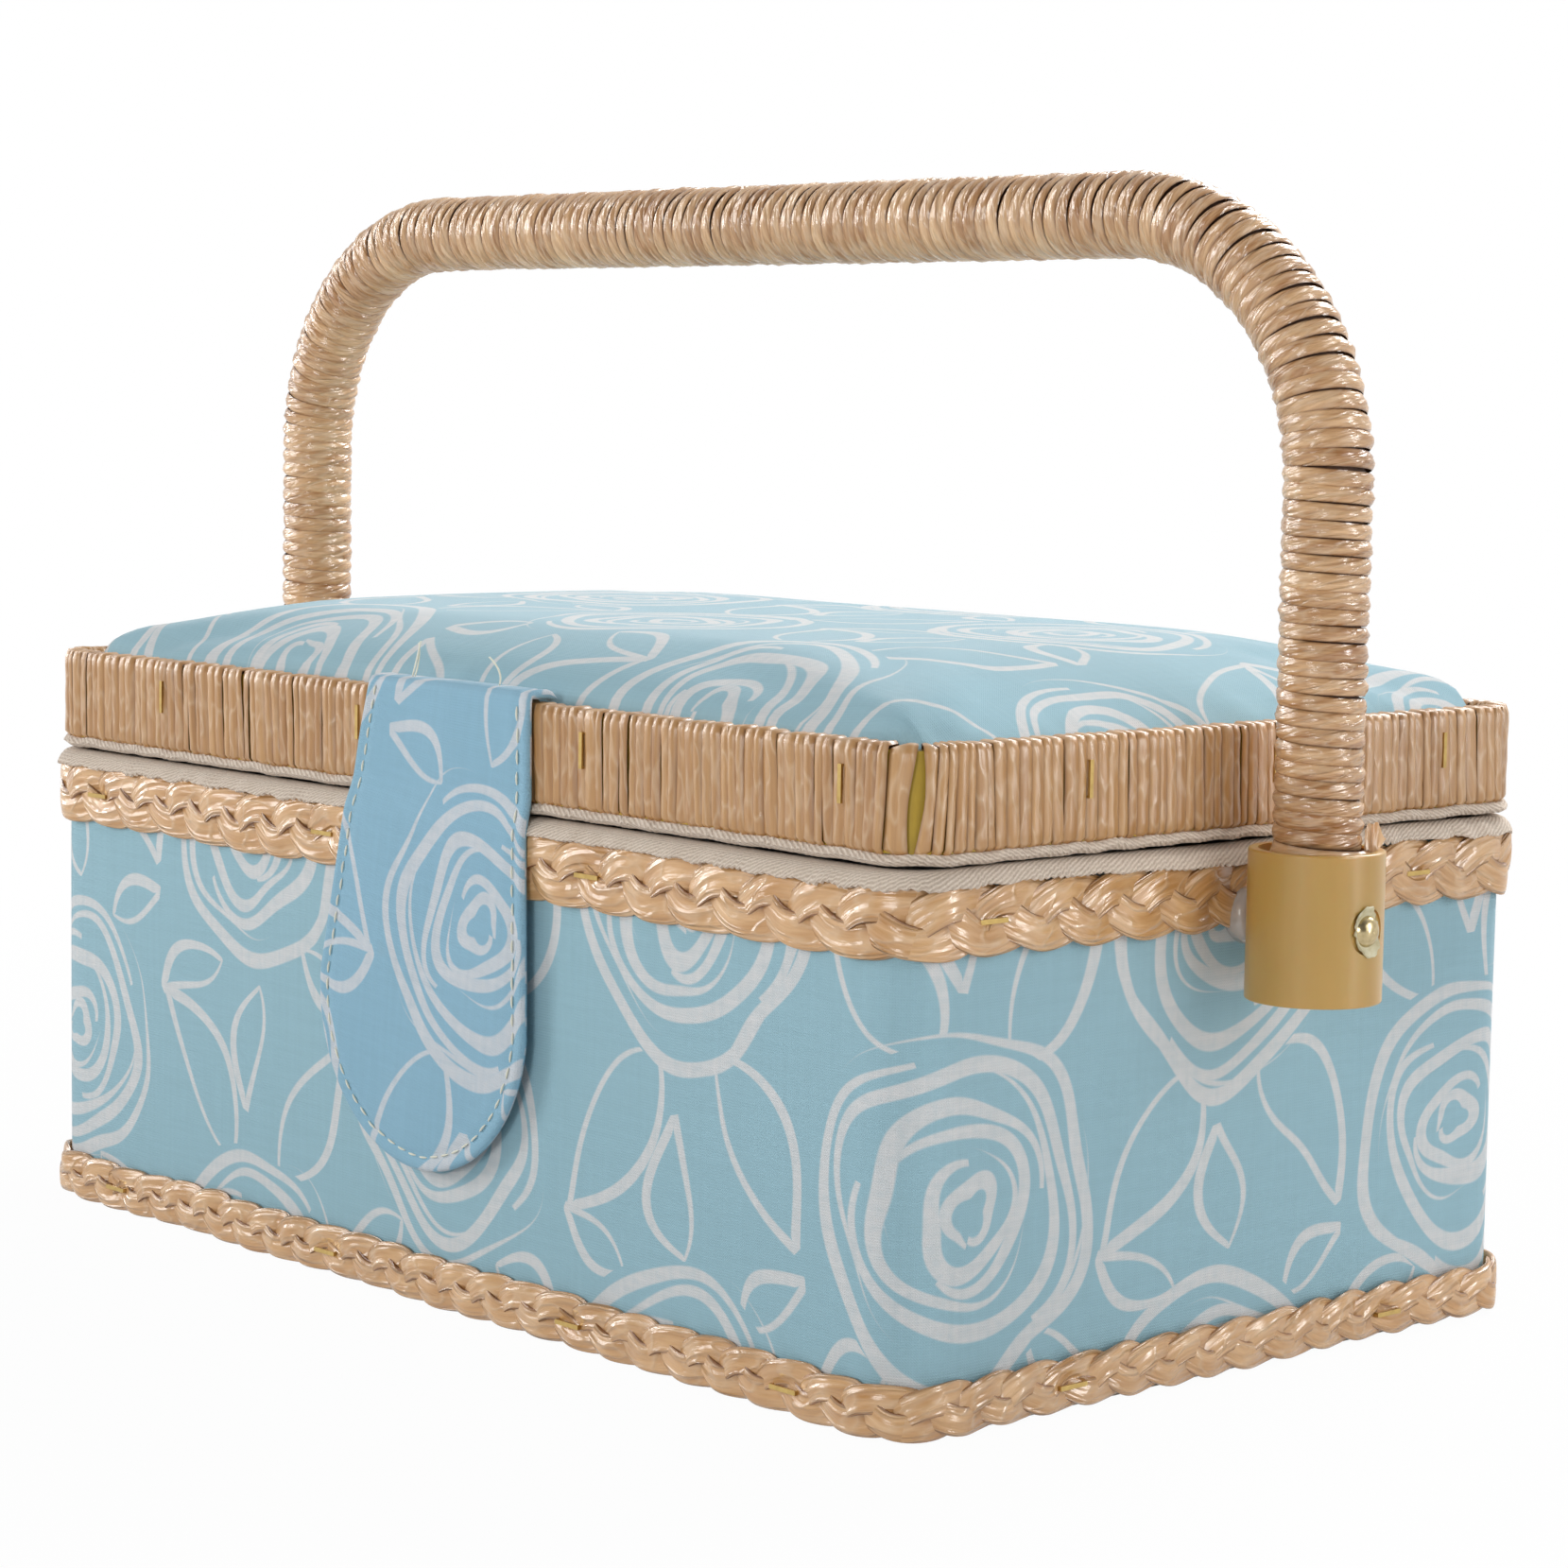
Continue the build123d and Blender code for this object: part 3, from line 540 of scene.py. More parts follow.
def modify(piece, kind, **settings):
    """A modifier with these settings, made part of the mesh"""
    pick(piece)
    modifier = piece.modifiers.new("step", kind)
    for name, value in settings.items():
        setattr(modifier, name, value)
    bpy.ops.object.modifier_apply(modifier="step")


def points(piece):
    flat = np.empty(3 * len(piece.data.vertices))
    piece.data.vertices.foreach_get("co", flat)
    return flat.reshape(-1, 3)


def move(piece, places):
    piece.data.vertices.foreach_set("co", np.ascontiguousarray(places, float).ravel())
    piece.data.update()


def grid(name, columns, rows):
    """A flat grid with sides from 0 to 1 and a UV map"""
    bpy.ops.mesh.primitive_grid_add(x_subdivisions=columns, y_subdivisions=rows, size=1, calc_uvs=True)
    piece = bpy.context.object
    piece.name = name
    move(piece, points(piece) + (0.5, 0.5, 0))
    return piece


def cube(name, cuts):
    """A cube from -1 to 1, cut up evenly"""
    bpy.ops.mesh.primitive_cube_add(size=2)
    piece = bpy.context.object
    piece.name = name
    edit(piece, bpy.ops.mesh.subdivide, number_cuts=cuts)
    return piece


def build(name, places, faces):
    """A piece from its points and faces"""
    mesh = bpy.data.meshes.new(name)
    mesh.from_pydata(places.tolist(), [], faces)
    piece = bpy.data.objects.new(name, mesh)
    scene.collection.objects.link(piece)
    return piece


def joined(name, *pieces):
    """The pieces as one"""
    pick(*pieces)
    bpy.ops.object.join()
    pieces[0].name = name
    return pieces[0]


def map_cloth(piece, u, v):
    """Sets the UV map, in metres, from one u and v for each vertex"""
    layer = piece.data.uv_layers.active or piece.data.uv_layers.new(name="UVMap")
    corner = np.empty(len(piece.data.loops), dtype=np.int32)
    piece.data.loops.foreach_get("vertex_index", corner)
    layer.data.foreach_set("uv", np.stack((u[corner], v[corner]), 1).astype(np.float32).ravel())


def give_lots(piece, lots, tuck_shading):
    """Two numbers for the straw, from 0 to 1: its tone, and how much painted shade it gets where it is tucked
    in
    """
    for name, values in (("lot", lots), ("tuck_shade", np.clip(tuck_shading, 0, 1))):
        piece.data.attributes.new(name, "FLOAT", "POINT").data.foreach_set("value", values.astype(np.float32))


def weld(piece, gap=1e-6, outward=False):
    """Closes the seams of a piece that was rolled up from a flat grid"""
    edit(piece, bpy.ops.mesh.remove_doubles, threshold=gap)
    if outward:
        edit(piece, bpy.ops.mesh.normals_make_consistent, inside=False)


def dress(piece, material, body, *replaced, slot=None, crease=None):
    """Gives a new piece its shading, its finish and its body, and hides the CAD nodes that it stands for.
    Edges that are bent by more than crease, in degrees, stay sharp."""
    pick(piece)
    if crease:
        bpy.ops.object.shade_smooth_by_angle(angle=math.radians(crease))
    else:
        bpy.ops.object.shade_smooth()
    piece.data.materials.clear()
    piece.data.materials.append(material)
    if replaced:
        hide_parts(*replaced)
    if body:
        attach(piece, body)


# %% Lines and the function that follows them


def runs(places):
    """How far along a line of points each of them is"""
    return np.append(0, np.cumsum(np.linalg.norm(np.diff(places, axis=0), axis=1)))


def line_of(x, y, angle):
    """A line from its points and the outward angle at each"""
    run = runs(np.stack((x, y), 1))
    return {"run": run, "x": x, "y": y, "angle": angle, "length": run[-1]}


def line_through(corners, radius, closed=False):
    """A line of straights and arcs. Each corner is its arc's centre and its first and last outward angle."""
    angle = np.concatenate([np.radians(np.linspace(first, last, ARC_STEPS)) for _, _, first, last in corners])
    centre = np.repeat([corner[:2] for corner in corners], ARC_STEPS, axis=0)
    x, y = centre[:, 0] + radius * np.cos(angle), centre[:, 1] + radius * np.sin(angle)
    if closed:
        x, y, angle = np.append(x, x[0]), np.append(y, y[0]), np.append(angle, angle[0] + TURN)
    return line_of(x, y, angle)


def box_line(half_x, half_y, radius=CORNER):
    """Round the box, anticlockwise from above, from the middle of the near corner"""
    x, y = half_x - radius, half_y - radius
    return line_through([(x, -y, -45, 0), (x, y, 0, 90), (-x, y, 90, 180), (-x, -y, 180, 270),
                         (x, -y, 270, 315)], radius)


def lay_along(line, run, outward, across, upright=False):
    """Places on the line: run along it, outward from it and across it"""
    if not upright:
        run = run % line["length"]
    x, y, angle = (np.interp(run, line["run"], line[key]) for key in ("x", "y", "angle"))
    x, y = x + outward * np.cos(angle), y + outward * np.sin(angle)
    return np.stack((x, across, y) if upright else (x, y, across), 1)


def wander(run, length, waves, seed):
    """A smooth random curve from -1 to 1 that closes on itself after the length"""
    random = np.random.default_rng(seed)
    total = np.zeros_like(run)
    for _ in range(7):
        turns = max(1, round(waves * random.uniform(0.5, 1.6)))
        total += np.sin(TURN * (turns * run / length + random.random()))
    return total / 4


def eased(share):
    """From 0 to 1 with soft ends"""
    share = np.clip(share, 0, 1)
    return share * share * (3 - 2 * share)


def pressed_by_hinges(x, y, outward, room):
    """At the back the hinges' leaves hold down what lies under them: outward is no more than the room there"""
    beside = np.abs(np.abs(x) - HINGE_X) - HINGE_HALF
    under = np.where(y > 0, eased(1.1 - beside / HINGE_EASE), 0)
    return np.where(outward > 0, outward * (1 - (1 - room / outward.max()) * under), outward)


print("round the box:", round(box_line(COVER_X, COVER_Y)["length"] / MM), "mm")

# %% [markdown]
# ## Cloth round the box
#
# The body is one strip of cloth, glued round the walls and turned under the base, with its seam at the
# back. It is a flat grid bent round the box line, so the print and the weave run round the corners as
# they do on real cloth. It is very slightly uneven, as glued cloth is.

# %% A band of cloth with any section


def band(name, line, section, columns, rows, seed=0, uneven=0.0):
    """A strip of cloth round a line. section is a list of (outward, z) points in mm, from edge to edge."""
    section = np.array(section) * MM
    steps = runs(section)
    piece = grid(name, columns, rows)
    x, y, _ = points(piece).T
    run, down = x * line["length"], y * steps[-1]
    outward, z = (np.interp(down, steps, section[:, axis]) for axis in (0, 1))
    outward = outward + uneven * MM * wander(run, line["length"], 9, seed) * np.sin(math.pi * y)
    map_cloth(piece, run, down)
    # its ends meet half way round from the near corner
    move(piece, lay_along(line, run + 0.5 * line["length"], outward, z))
    return piece, run, y, steps[-1]


def glued_round(name, line, section, columns, rows, seed, uneven, material, node):
    """Cloth that is glued round the walls"""
    piece, _, _, tall = band(name, line, section, columns, rows, seed, uneven)
    weld(piece)
    dress(piece, material, "box", node)
    print(name, round(line["length"] / MM), "x", round(tall / MM), "mm")


glued_round("body_cloth", box_line(COVER_X, COVER_Y),
            [(-9, 0.35), (-0.8, 0.35), (-0.25, 0.5), (0, 0.9), (0, 89.5)], columns=420, rows=60,
            seed=3, uneven=0.18, material=printed, node="body_cover")

# %% Cloth under the base, and the linings


def flat_cloth(name, half_x, half_y, radius, z, body, node):
    """A level rounded sheet, its sizes in mm: a grid whose outer points are pulled onto the rounded outline"""
    half_x, half_y, radius, z = half_x * MM, half_y * MM, radius * MM, z * MM
    piece = grid(name, 40, 26)
    x, y, _ = (2 * points(piece) - 1).T
    corner = np.clip(np.abs(x) + np.abs(y) - 1, 0, 1) ** 6 * radius * (1 - math.sqrt(0.5))
    x, y = x * half_x - np.sign(x) * corner, y * half_y - np.sign(y) * corner
    move(piece, np.stack((x, y, np.full_like(x, z) + 0.08 * MM * np.sin(x * 90) * np.cos(y * 110)), 1))
    map_cloth(piece, x, y)
    dress(piece, lining, body, node)
    2 * half_x
    2 * half_y


flat_cloth("under_cloth", 123.5, 75.0, 9, 0.2, "box", "base_cloth")
flat_cloth("floor_lining", 121.0, 72.5, 6, 4.4, "box", "base_lining")
flat_cloth("lid_lining_cloth", 119.9, 71.4, 5, 101.9, "lid", "lid_lining")
glued_round("wall_lining", box_line(121.3 * MM, 72.8 * MM, 6.7 * MM), [(0, 4.4), (0, 87.0)],
            columns=240, rows=24, seed=5, uneven=0.1, material=lining, node="body_lining")

# %% [markdown]
# ## The twill tapes
#
# One tape binds the mouth of the box and one the lower edge of the lid. Each is folded over its edge, and
# its cut side stands off the plait in small waves, because the tape is longer than the line it is sewn to.
# Under the hinges' leaves both are pressed flat.

# %% Bind the mouth and the lid with tape
TAPE_THICK = 0.55 * MM


def tape(name, line, section, body, node, frilled, depth, sag, seed, under_leaf):
    """A folded tape. frilled is the place on the section that waves: 0 its first point, 1 its last. It waves
    by depth and sags by sag, and under_leaf is its room under the hinges' leaves, all in mm."""
    piece, run, share, wide = band(name, line, section, 1700, 12)
    places = points(piece)
    length, side = line["length"], line["y"].max()
    near_edge = np.clip(1 - np.abs(share - frilled) / 0.32, 0, 1) ** 1.5 * depth * MM
    sagging = np.clip(1 - np.abs(share - frilled) / 0.6, 0, 1) * sag * MM
    ripple = wander(run, length, 100, seed) * 0.8 + wander(run, length, 34, seed + 1) * 0.9
    away = places * (1, 1, 0)
    away /= np.linalg.norm(away, axis=1)[:, None]
    places += away * (near_edge * (0.25 + ripple))[:, None]
    places[:, 2] += sagging * wander(run, length, 7, seed + 4) + near_edge * (
        0.7 * wander(run, length, 75, seed + 2) + 0.5 * wander(run, length, 420, seed + 3))
    places[:, 1] = side + pressed_by_hinges(places[:, 0], places[:, 1], places[:, 1] - side, under_leaf * MM)
    move(piece, places)
    weld(piece)
    modify(piece, "SOLIDIFY", thickness=TAPE_THICK, offset=0.0)
    dress(piece, twill, body, node, crease=50)


tape("mouth_tape", box_line(124.9 * MM, 76.4 * MM),
     [(-3.9, 83.0), (-3.9, 89.4), (-3.3, 90.2), (-0.9, 90.2), (0.3, 89.9), (1.2, 89.3), (1.7, 88.5),
      (2.0, 87.7)],
     "box", "body_tape", frilled=1.0, depth=0.5, sag=0.8, seed=11, under_leaf=0.62)
tape("lid_edge_tape", box_line(COVER_X, COVER_Y),
     [(-4.4, 92.9), (-4.2, 91.7), (-3.6, 91.4), (-1.0, 91.4), (0.3, 91.5), (0.95, 92.1), (0.4, 92.75),
      (-3.4, 92.95)],
     "lid", "lid_tape", frilled=0.62, depth=0.4, sag=0.0, seed=21, under_leaf=0.36)
print("two tapes")

# %% [markdown]
# ## The plaits
#
# Three flat strands of straw cross over and under. Seen from the front, each strand swings from one edge
# to the other, a third of a turn behind the next, and goes out and in twice for each swing: that keeps it
# over one neighbour and under the other. Each strand is a flat grid, rolled into a soft flat tube, woven
# and laid round the box. Where a staple holds the plait down, and under the hinges, the straw is pressed in.

# %% Plait three strands
STAPLE_ALONG, STAPLE_ACROSS, STAPLE_PRESS = 3.6 * MM, 2.2 * MM, 0.72
UNDER_LEAF = 1.05 * MM


def staple_runs(line, half_x, half_y, front_x, end_y):
    """How far along the line the staples are, from their places on the box in mm"""
    run = np.arange(0, line["length"], MM)
    line_x, line_y = (np.interp(run, line["run"], line[key]) for key in ("x", "y"))
    spots = [(turn * x * MM, -turn * half_y) for x in front_x for turn in (1, -1)]
    spots += [(turn * half_x, turn * y * MM) for y in end_y for turn in (1, -1)]
    return [run[np.argmin((line_x - x) ** 2 + (line_y - y) ** 2)] for x, y in spots]


def rolled(angle, power):
    """A cosine with flatter tops, for the section of a strand"""
    return np.sign(np.cos(angle)) * np.abs(np.cos(angle)) ** power


def plait(name, node, half_x, half_y, low, high, wide, thick, period, seed, front_x, end_y):
    """A plait round the box, between the heights low and high, with its staples at front_x and end_y. All
    sizes and places are in mm."""
    half_x, half_y, low, high, wide, thick = (size * MM for size in (half_x, half_y, low, high, wide, thick))
    line = box_line(half_x, half_y)
    length = line["length"]
    periods = round(length / (period * MM))
    pressed = staple_runs(line, half_x, half_y, front_x, end_y)
    reach = (high - low - wide) / 2
    strands = []
    for number in range(3):
        strand = grid(f"{name}_{number + 1}", periods * 36, 20)
        x, y, _ = points(strand).T
        run, roll = x * length, TURN * y
        phase = TURN * (x * periods + number / 3) + 0.16 * wander(run, length, 21, seed + number)
        sway = reach * (np.sin(phase) + 0.06 * np.sin(3 * phase))
        slope = np.arctan(reach * TURN * periods / length * np.cos(phase) * 0.8)
        # on top of the others, a strand is drawn in a little on its inner side
        drawn_in = [0.12 * wide * np.clip(np.cos(phase - math.radians(angle)), 0, None) ** 2
                    for angle in (30, 210)]
        half = wide / 2 * (1 + 0.07 * wander(run, length, 46, seed + 3 + number)) - sum(drawn_in) / 2
        flat = rolled(roll, 0.8) * half
        over = np.sin(2 * phase)
        folds = wander(run + flat * 1.5, length, 150, seed + 12 + number) * 0.10
        puff = (rolled(roll - math.pi / 2, 0.5) * thick / 2
                * (1 + 0.15 * wander(run, length, 60, seed + 9 + number) + folds))
        lean = -0.12 * np.cos(phase) * np.cos(2 * phase) * flat
        level = sway + (drawn_in[0] - drawn_in[1]) / 2 + flat * np.cos(slope)
        z = (low + high) / 2 + level + 0.3 * MM * wander(run, length, 12, seed + 20)
        thin_edge = 0.35 * thick * np.clip(np.abs(level) * 2 / (high - low), 0, 1.2) ** 4
        outward = thick * (0.98 + 0.52 * over) + puff + lean - thin_edge
        for spot in pressed:
            far = np.abs((run - spot + length / 2) % length - length / 2)
            near = np.exp(-(far / STAPLE_ALONG) ** 2 - (level / STAPLE_ACROSS) ** 2)
            outward = outward * (1 - STAPLE_PRESS * near)
        laid = run - flat * np.sin(slope)
        place_x, place_y, _ = lay_along(line, laid, 0, z).T
        outward = pressed_by_hinges(place_x, place_y, outward, UNDER_LEAF)
        map_cloth(strand, run * 1.1, y * 2 * wide)
        # painted shade: darker where a strand runs under its neighbour near the middle of the plait, and along
        # the strands' edges
        give_lots(strand, 0.5 + 0.5 * wander(run, length, 50, seed + 30 + number),
                  np.clip(-over, 0, 1) * np.exp(-(level / (2.3 * MM)) ** 2)
                  + 1.1 * (np.abs(flat) / half) ** 5 * np.exp(-(level / (5.8 * MM)) ** 2))
        move(strand, lay_along(line, laid, np.maximum(outward, 0.05 * MM), z))
        weld(strand, outward=True)
        strands.append(strand)
    whole = joined(name, *strands)
    dress(whole, straw_plait, "box", node)
    print(name, "of", periods, "periods,", len(whole.data.polygons), "faces")


plait("upper_plait", "upper_braid", 124.75, 76.25, low=75.9, high=88.7, wide=6.6, thick=1.1, period=36,
      seed=40, front_x=(-105.5, -29.5, 47), end_y=(-60, 45))
plait("foot_plait", "foot_braid", 124.9, 76.4, low=0.3, high=9.8, wide=5.3, thick=1.1, period=29,
      seed=70, front_x=(-98, -27, 44, 99), end_y=(-40, 40))

# %% [markdown]
# ## The winding of the rim
#
# A ribbon of the same straw is wound round the rim, turn beside turn, about 2.3 mm wide. One strip is
# modelled, as a closed loop round the rim's section, and copied: each copy has its own width, lean and
# crown, which is what makes a winding look hand made. At the near corner one turn has slipped, and the
# olive strip under the winding shows.

# %% Wind the rim
RIM_LOW, RIM_HIGH, RIM_WALL, RIM_ROUND = 92.75 * MM, 110.2 * MM, 4.7 * MM, 1.0 * MM
GAP_START, LONE_STRIP, THIN_GAP = 1.45 * MM, 3.6 * MM, 0.25 * MM
STRIP_WIDE, STRIP_VARIES, NARROWEST, WIDEST = 2.35, 0.30, 1.7, 3.1      # mm

rim_line = box_line(125.3 * MM, 76.8 * MM)
random = np.random.default_rng(8)
wound = rim_line["length"] - 2 * GAP_START - LONE_STRIP - THIN_GAP
widths = random.normal(STRIP_WIDE, STRIP_VARIES, round(wound / (STRIP_WIDE * MM))).clip(NARROWEST, WIDEST)
widths *= wound / widths.sum()
centres = GAP_START + np.cumsum(widths) - widths / 2
widths = np.append(widths, LONE_STRIP)
centres = np.append(centres, rim_line["length"] - GAP_START - LONE_STRIP / 2)
turns = len(widths)

strip = grid("strip", 5, 26)
u, t, _ = points(strip).T
faces = np.array([face.vertices[:] for face in strip.data.polygons])
bpy.data.objects.remove(strip)
flat_out, flat_up = RIM_WALL / 2 - RIM_ROUND, (RIM_HIGH - RIM_LOW) / 2 - RIM_ROUND
section = line_through([(flat_out, -flat_up, -90, 0), (flat_out, flat_up, 0, 90), (-flat_out, flat_up, 90, 180),
                        (-flat_out, -flat_up, 180, 270)], RIM_ROUND, closed=True)
out, up_z, facing = (np.interp(t * section["length"], section["run"], section[key])
                     for key in ("x", "y", "angle"))
u = 2 * u - 1
lean, bow, crown, lop = (random.normal(0, spread, (turns, 1)) for spread in (0.15, 0.12, 0.10, 0.15))
share = up_z / (RIM_HIGH - RIM_LOW) * 2
lean = lean - 0.25 + 0.25 * wander(centres[:, None], rim_line["length"], 9, 71)
# the strips beside the gap lean, and both close it towards its ends
from_gap = np.minimum(np.arange(turns), turns - 1 - np.arange(turns))[:, None]
lean = lean * np.clip(from_gap / 5, 0, 1) + 0.65 * np.clip(1 - from_gap / 5, 0, 1)
closing = np.zeros((turns, 1))
closing[0], closing[-1] = -1.0, 0.9
run = centres[:, None] + (u * widths[:, None] * 0.56 * (1 + 0.05 * np.sin(3 * share + bow * 20))
                          + MM * (lean * share + bow * (1 - share ** 2))
                          + MM * closing * np.abs(share) ** 1.5 * (1 + np.sign(closing) * u) / 2)
raised = MM * ((0.50 + crown) * (1 - np.abs(u) ** 2.2) - 0.38 + lop * u)
raised = raised + 0.06 * MM * np.sin(share * 9 + lean * 30) * (1 - u ** 2)
places = lay_along(rim_line, run.ravel(), (out - RIM_WALL / 2 + raised * np.cos(facing)).ravel(),
                   ((RIM_LOW + RIM_HIGH) / 2 + up_z + raised * np.sin(facing)).ravel())
all_faces = faces[None] + np.arange(turns)[:, None, None] * len(u)
rim_winding = build("rim_winding", places, all_faces.reshape(-1, 4).tolist())
map_cloth(rim_winding, np.tile(t * section["length"], turns), (u * widths[:, None] / 2).ravel())
# painted shade along the edges of each strip, where it meets the next
give_lots(rim_winding, np.repeat(random.random(turns), len(u)), np.tile(0.9 * u ** 6, turns))
weld(rim_winding)
dress(rim_winding, straw_rim, "lid", "rim_wrap")
print("rim:", turns, "turns,", len(rim_winding.data.polygons), "faces")

# %% [markdown]
# ## The winding of the handle
#
# The handle is a bent rod, wound with one long straw ribbon. A Screw modifier could make the coil, but
# each turn would be the same. Instead one long flat grid is wound in numbers: the angle goes round once
# for each turn, and the run along the handle goes on by one pitch. The ribbon keeps its own width, so on
# the outside of the bends the turns part and dark gaps open, as they do on the real one.

# %% Wind the handle
LEG_X, HANDLE_TOP, BEND, HANDLE_START = 140.8 * MM, 194.7 * MM, 44.5 * MM, 71.5 * MM
PITCH, RIBBON, WIND_RADIUS = 2.8 * MM, 3.05 * MM, 7.15 * MM
CAP_DEPTH = 17.3                   # mm from the handle's ends to just inside the end caps' mouths

bend_x, bend_z = LEG_X - BEND, HANDLE_TOP - BEND
arch = line_through([(-bend_x, bend_z, 180, 90), (bend_x, bend_z, 90, 0)], BEND)
x, y, angle = (np.pad(arch[key], 1, "edge") for key in ("x", "y", "angle"))
y[0] = y[-1] = HANDLE_START
arch = line_of(x, y, angle)
handle_turns = int(arch["length"] / PITCH)
ribbon = grid("handle_winding", handle_turns * 30, 8)
x, u, _ = points(ribbon).T
u = 2 * u - 1
turn = x * handle_turns
angle = TURN * turn
whole = turn.max()
wide = RIBBON * (1 + 0.09 * wander(turn, whole, handle_turns * 0.8, 51) + 0.05 * wander(turn, whole, 60, 52))
middle_run = RIBBON / 2 + turn * (arch["length"] - RIBBON) / whole
middle_run = middle_run + 0.24 * MM * wander(turn, whole, handle_turns * 0.6, 53)
# outside a bend the line is longer, and the ribbon keeps its width
in_bend = np.interp(middle_run, arch["run"], np.gradient(arch["angle"], arch["run"]) < -1)
run = middle_run + u * wide / 2 / (1 + in_bend * WIND_RADIUS * np.cos(angle) / BEND)
crumple = 0.12 * (wander(turn, whole, handle_turns * 3.1, 54)
                  + wander(turn + 0.2 * u, whole, handle_turns * 5.3, 55))
# the ribbon is twisted as it is wound, so a ridge runs slanting across it again and again
ridge = 2.6 * ((turn * 1.37 + 0.2 * wander(turn, whole, handle_turns * 0.5, 57)) % 1) - 1.3
twist = 0.22 * np.exp(-((u - ridge) / 0.4) ** 2)
lop = 0.10 + 0.14 * wander(turn, whole, handle_turns * 0.9, 58)
# just inside the mouths of the end caps, more straw fills the space
from_end = np.minimum(middle_run, arch["length"] - middle_run) / MM
in_mouth = 1.75 * np.exp(-((from_end - CAP_DEPTH) / 1.7) ** 4)
raised = in_mouth + 0.52 * (1 - np.abs(u) ** 2.3) - 0.32 + lop * u + (crumple + twist) * (1 - u ** 2)
radius = WIND_RADIUS + MM * raised
map_cloth(ribbon, turn * TURN * WIND_RADIUS, u * wide / 2)
# painted shade along the ribbon's edges, between the turns
give_lots(ribbon, 0.5 + 0.5 * wander(turn, whole, handle_turns * 0.7, 56), 0.9 * np.abs(u) ** 7)
move(ribbon, lay_along(arch, run, radius * np.cos(angle), radius * np.sin(angle), upright=True))
dress(ribbon, straw_handle, "handle", "handle_wrap")
print("handle:", handle_turns, "turns,", len(ribbon.data.polygons), "faces")

# %% [markdown]
# ## The rings under the rivets
#
# Each rivet was driven through a thin pale ring, which tore and bent outward above and below the head.

# %% Tear the rings
PIVOT_Z, SEAT_X = 78.5 * MM, 151.4 * MM
RING_BORE = 1.6                    # mm, half its width
for side_name, side in (("right", 1), ("left", -1)):
    ring = grid("torn_ring_" + side_name, 90, 5)
    x, y, _ = points(ring).T
    angle = TURN * x
    reach = 2.75 + 1.5 * np.abs(np.sin(angle - 0.25)) ** 3 + 0.25 * wander(x, 1.0, 12, 91 + side)
    radius = RING_BORE + y * (reach - RING_BORE)
    bent = 0.95 * np.clip((radius - 2.9) / 1.3, 0, 1) ** 1.3
    move(ring, np.stack((side * (SEAT_X + (0.25 + bent) * MM), radius * MM * np.cos(angle),
                         PIVOT_Z + radius * MM * np.sin(angle)), 1))
    weld(ring)
    modify(ring, "SOLIDIFY", thickness=0.3 * MM, offset=0.0)
    dress(ring, ragged, "handle", "outer_washer_" + side_name, crease=40)
print("two rings")

# %% [markdown]
# ## A straw end at the right cap
#
# Where the ribbon is tucked into the right cap, its split end sticks out beside the winding.

# %% Leave the end showing
CAP_MOUTH, END_TURN = 91.0 * MM, 0.72      # END_TURN in radians, about the handle's leg

straw_end = grid("straw_end", 10, 12)
x, y, _ = points(straw_end).T
tall = (7.0 - 2.2 * np.abs(2 * x - 0.8) ** 1.6 + 0.45 * np.sin(13 * x)) * MM
from_leg = (8.5 + 0.9 * y ** 2 + (x - 0.5) * (1.8 + 1.6 * y ** 2)) * MM
curl = (0.35 * np.sin(7 * x + 3 * y) - 0.6 * y) * MM
map_cloth(straw_end, y * tall, x * 4 * MM)
give_lots(straw_end, np.full_like(x, 1.8), np.zeros_like(x))
cosine, sine = math.cos(END_TURN), math.sin(END_TURN)
move(straw_end, np.stack((LEG_X + from_leg * cosine + curl * sine, from_leg * sine - curl * cosine,
                          CAP_MOUTH - 2.4 * MM + y * tall), 1))
modify(straw_end, "SOLIDIFY", thickness=0.22 * MM, offset=0.0)
dress(straw_end, straw_handle, "handle", slot="handle_wrap", crease=50)
print("one straw end")

# %% [markdown]
# ## The padded lid
#
# The lid's cloth is drawn over foam and held down inside the rim. A cushion like this is best made by
# cloth simulation: a closed form a little smaller than the pad, blown up by pressure, with the part
# inside the rim held still. The points may move only a few millimetres, so that the pad stays the size
# of the real one. The small gathers at the corners and along the edge are shaped afterwards.

# %% Shape the pad and blow it up
PAD_X, PAD_Y, PAD_LOW, PAD_RIM, PAD_CROWN = 120.3 * MM, 71.8 * MM, 105.6 * MM, 108.7 * MM, 11.8 * MM
PAD_CORNER, PAD_HIP, PAD_STEEP, PAD_FULL = 5.3 * MM, 0.9, 7.9, 0.58
PAD_PRINT_X, PAD_PRINT_Y = 0.021, 0.160    # metres by which the print is moved, so that the roses fall well
BLOWN_UP = 1.0 * MM                        # how much of the crown the pressure adds
SIM_FRAMES = 20


def pad_share(x, y):
    """0 in the middle of the pad and 1 at its edge: the size of the rounded rectangle that the point lies on"""
    low, high = np.zeros_like(x), np.ones_like(x) * 1.2
    for _ in range(24):
        share = (low + high) / 2
        radius = np.clip(PAD_CORNER + PAD_HIP * PAD_Y * (1 - share), 0, 0.9 * PAD_Y * share)
        over_x, over_y = np.abs(x) - PAD_X * share + radius, np.abs(y) - PAD_Y * share + radius
        outside = (np.hypot(np.clip(over_x, 0, None), np.clip(over_y, 0, None))
                   + np.clip(np.maximum(over_x, over_y), None, 0) > radius)
        low, high = np.where(outside, share, low), np.where(outside, high, share)
    return share


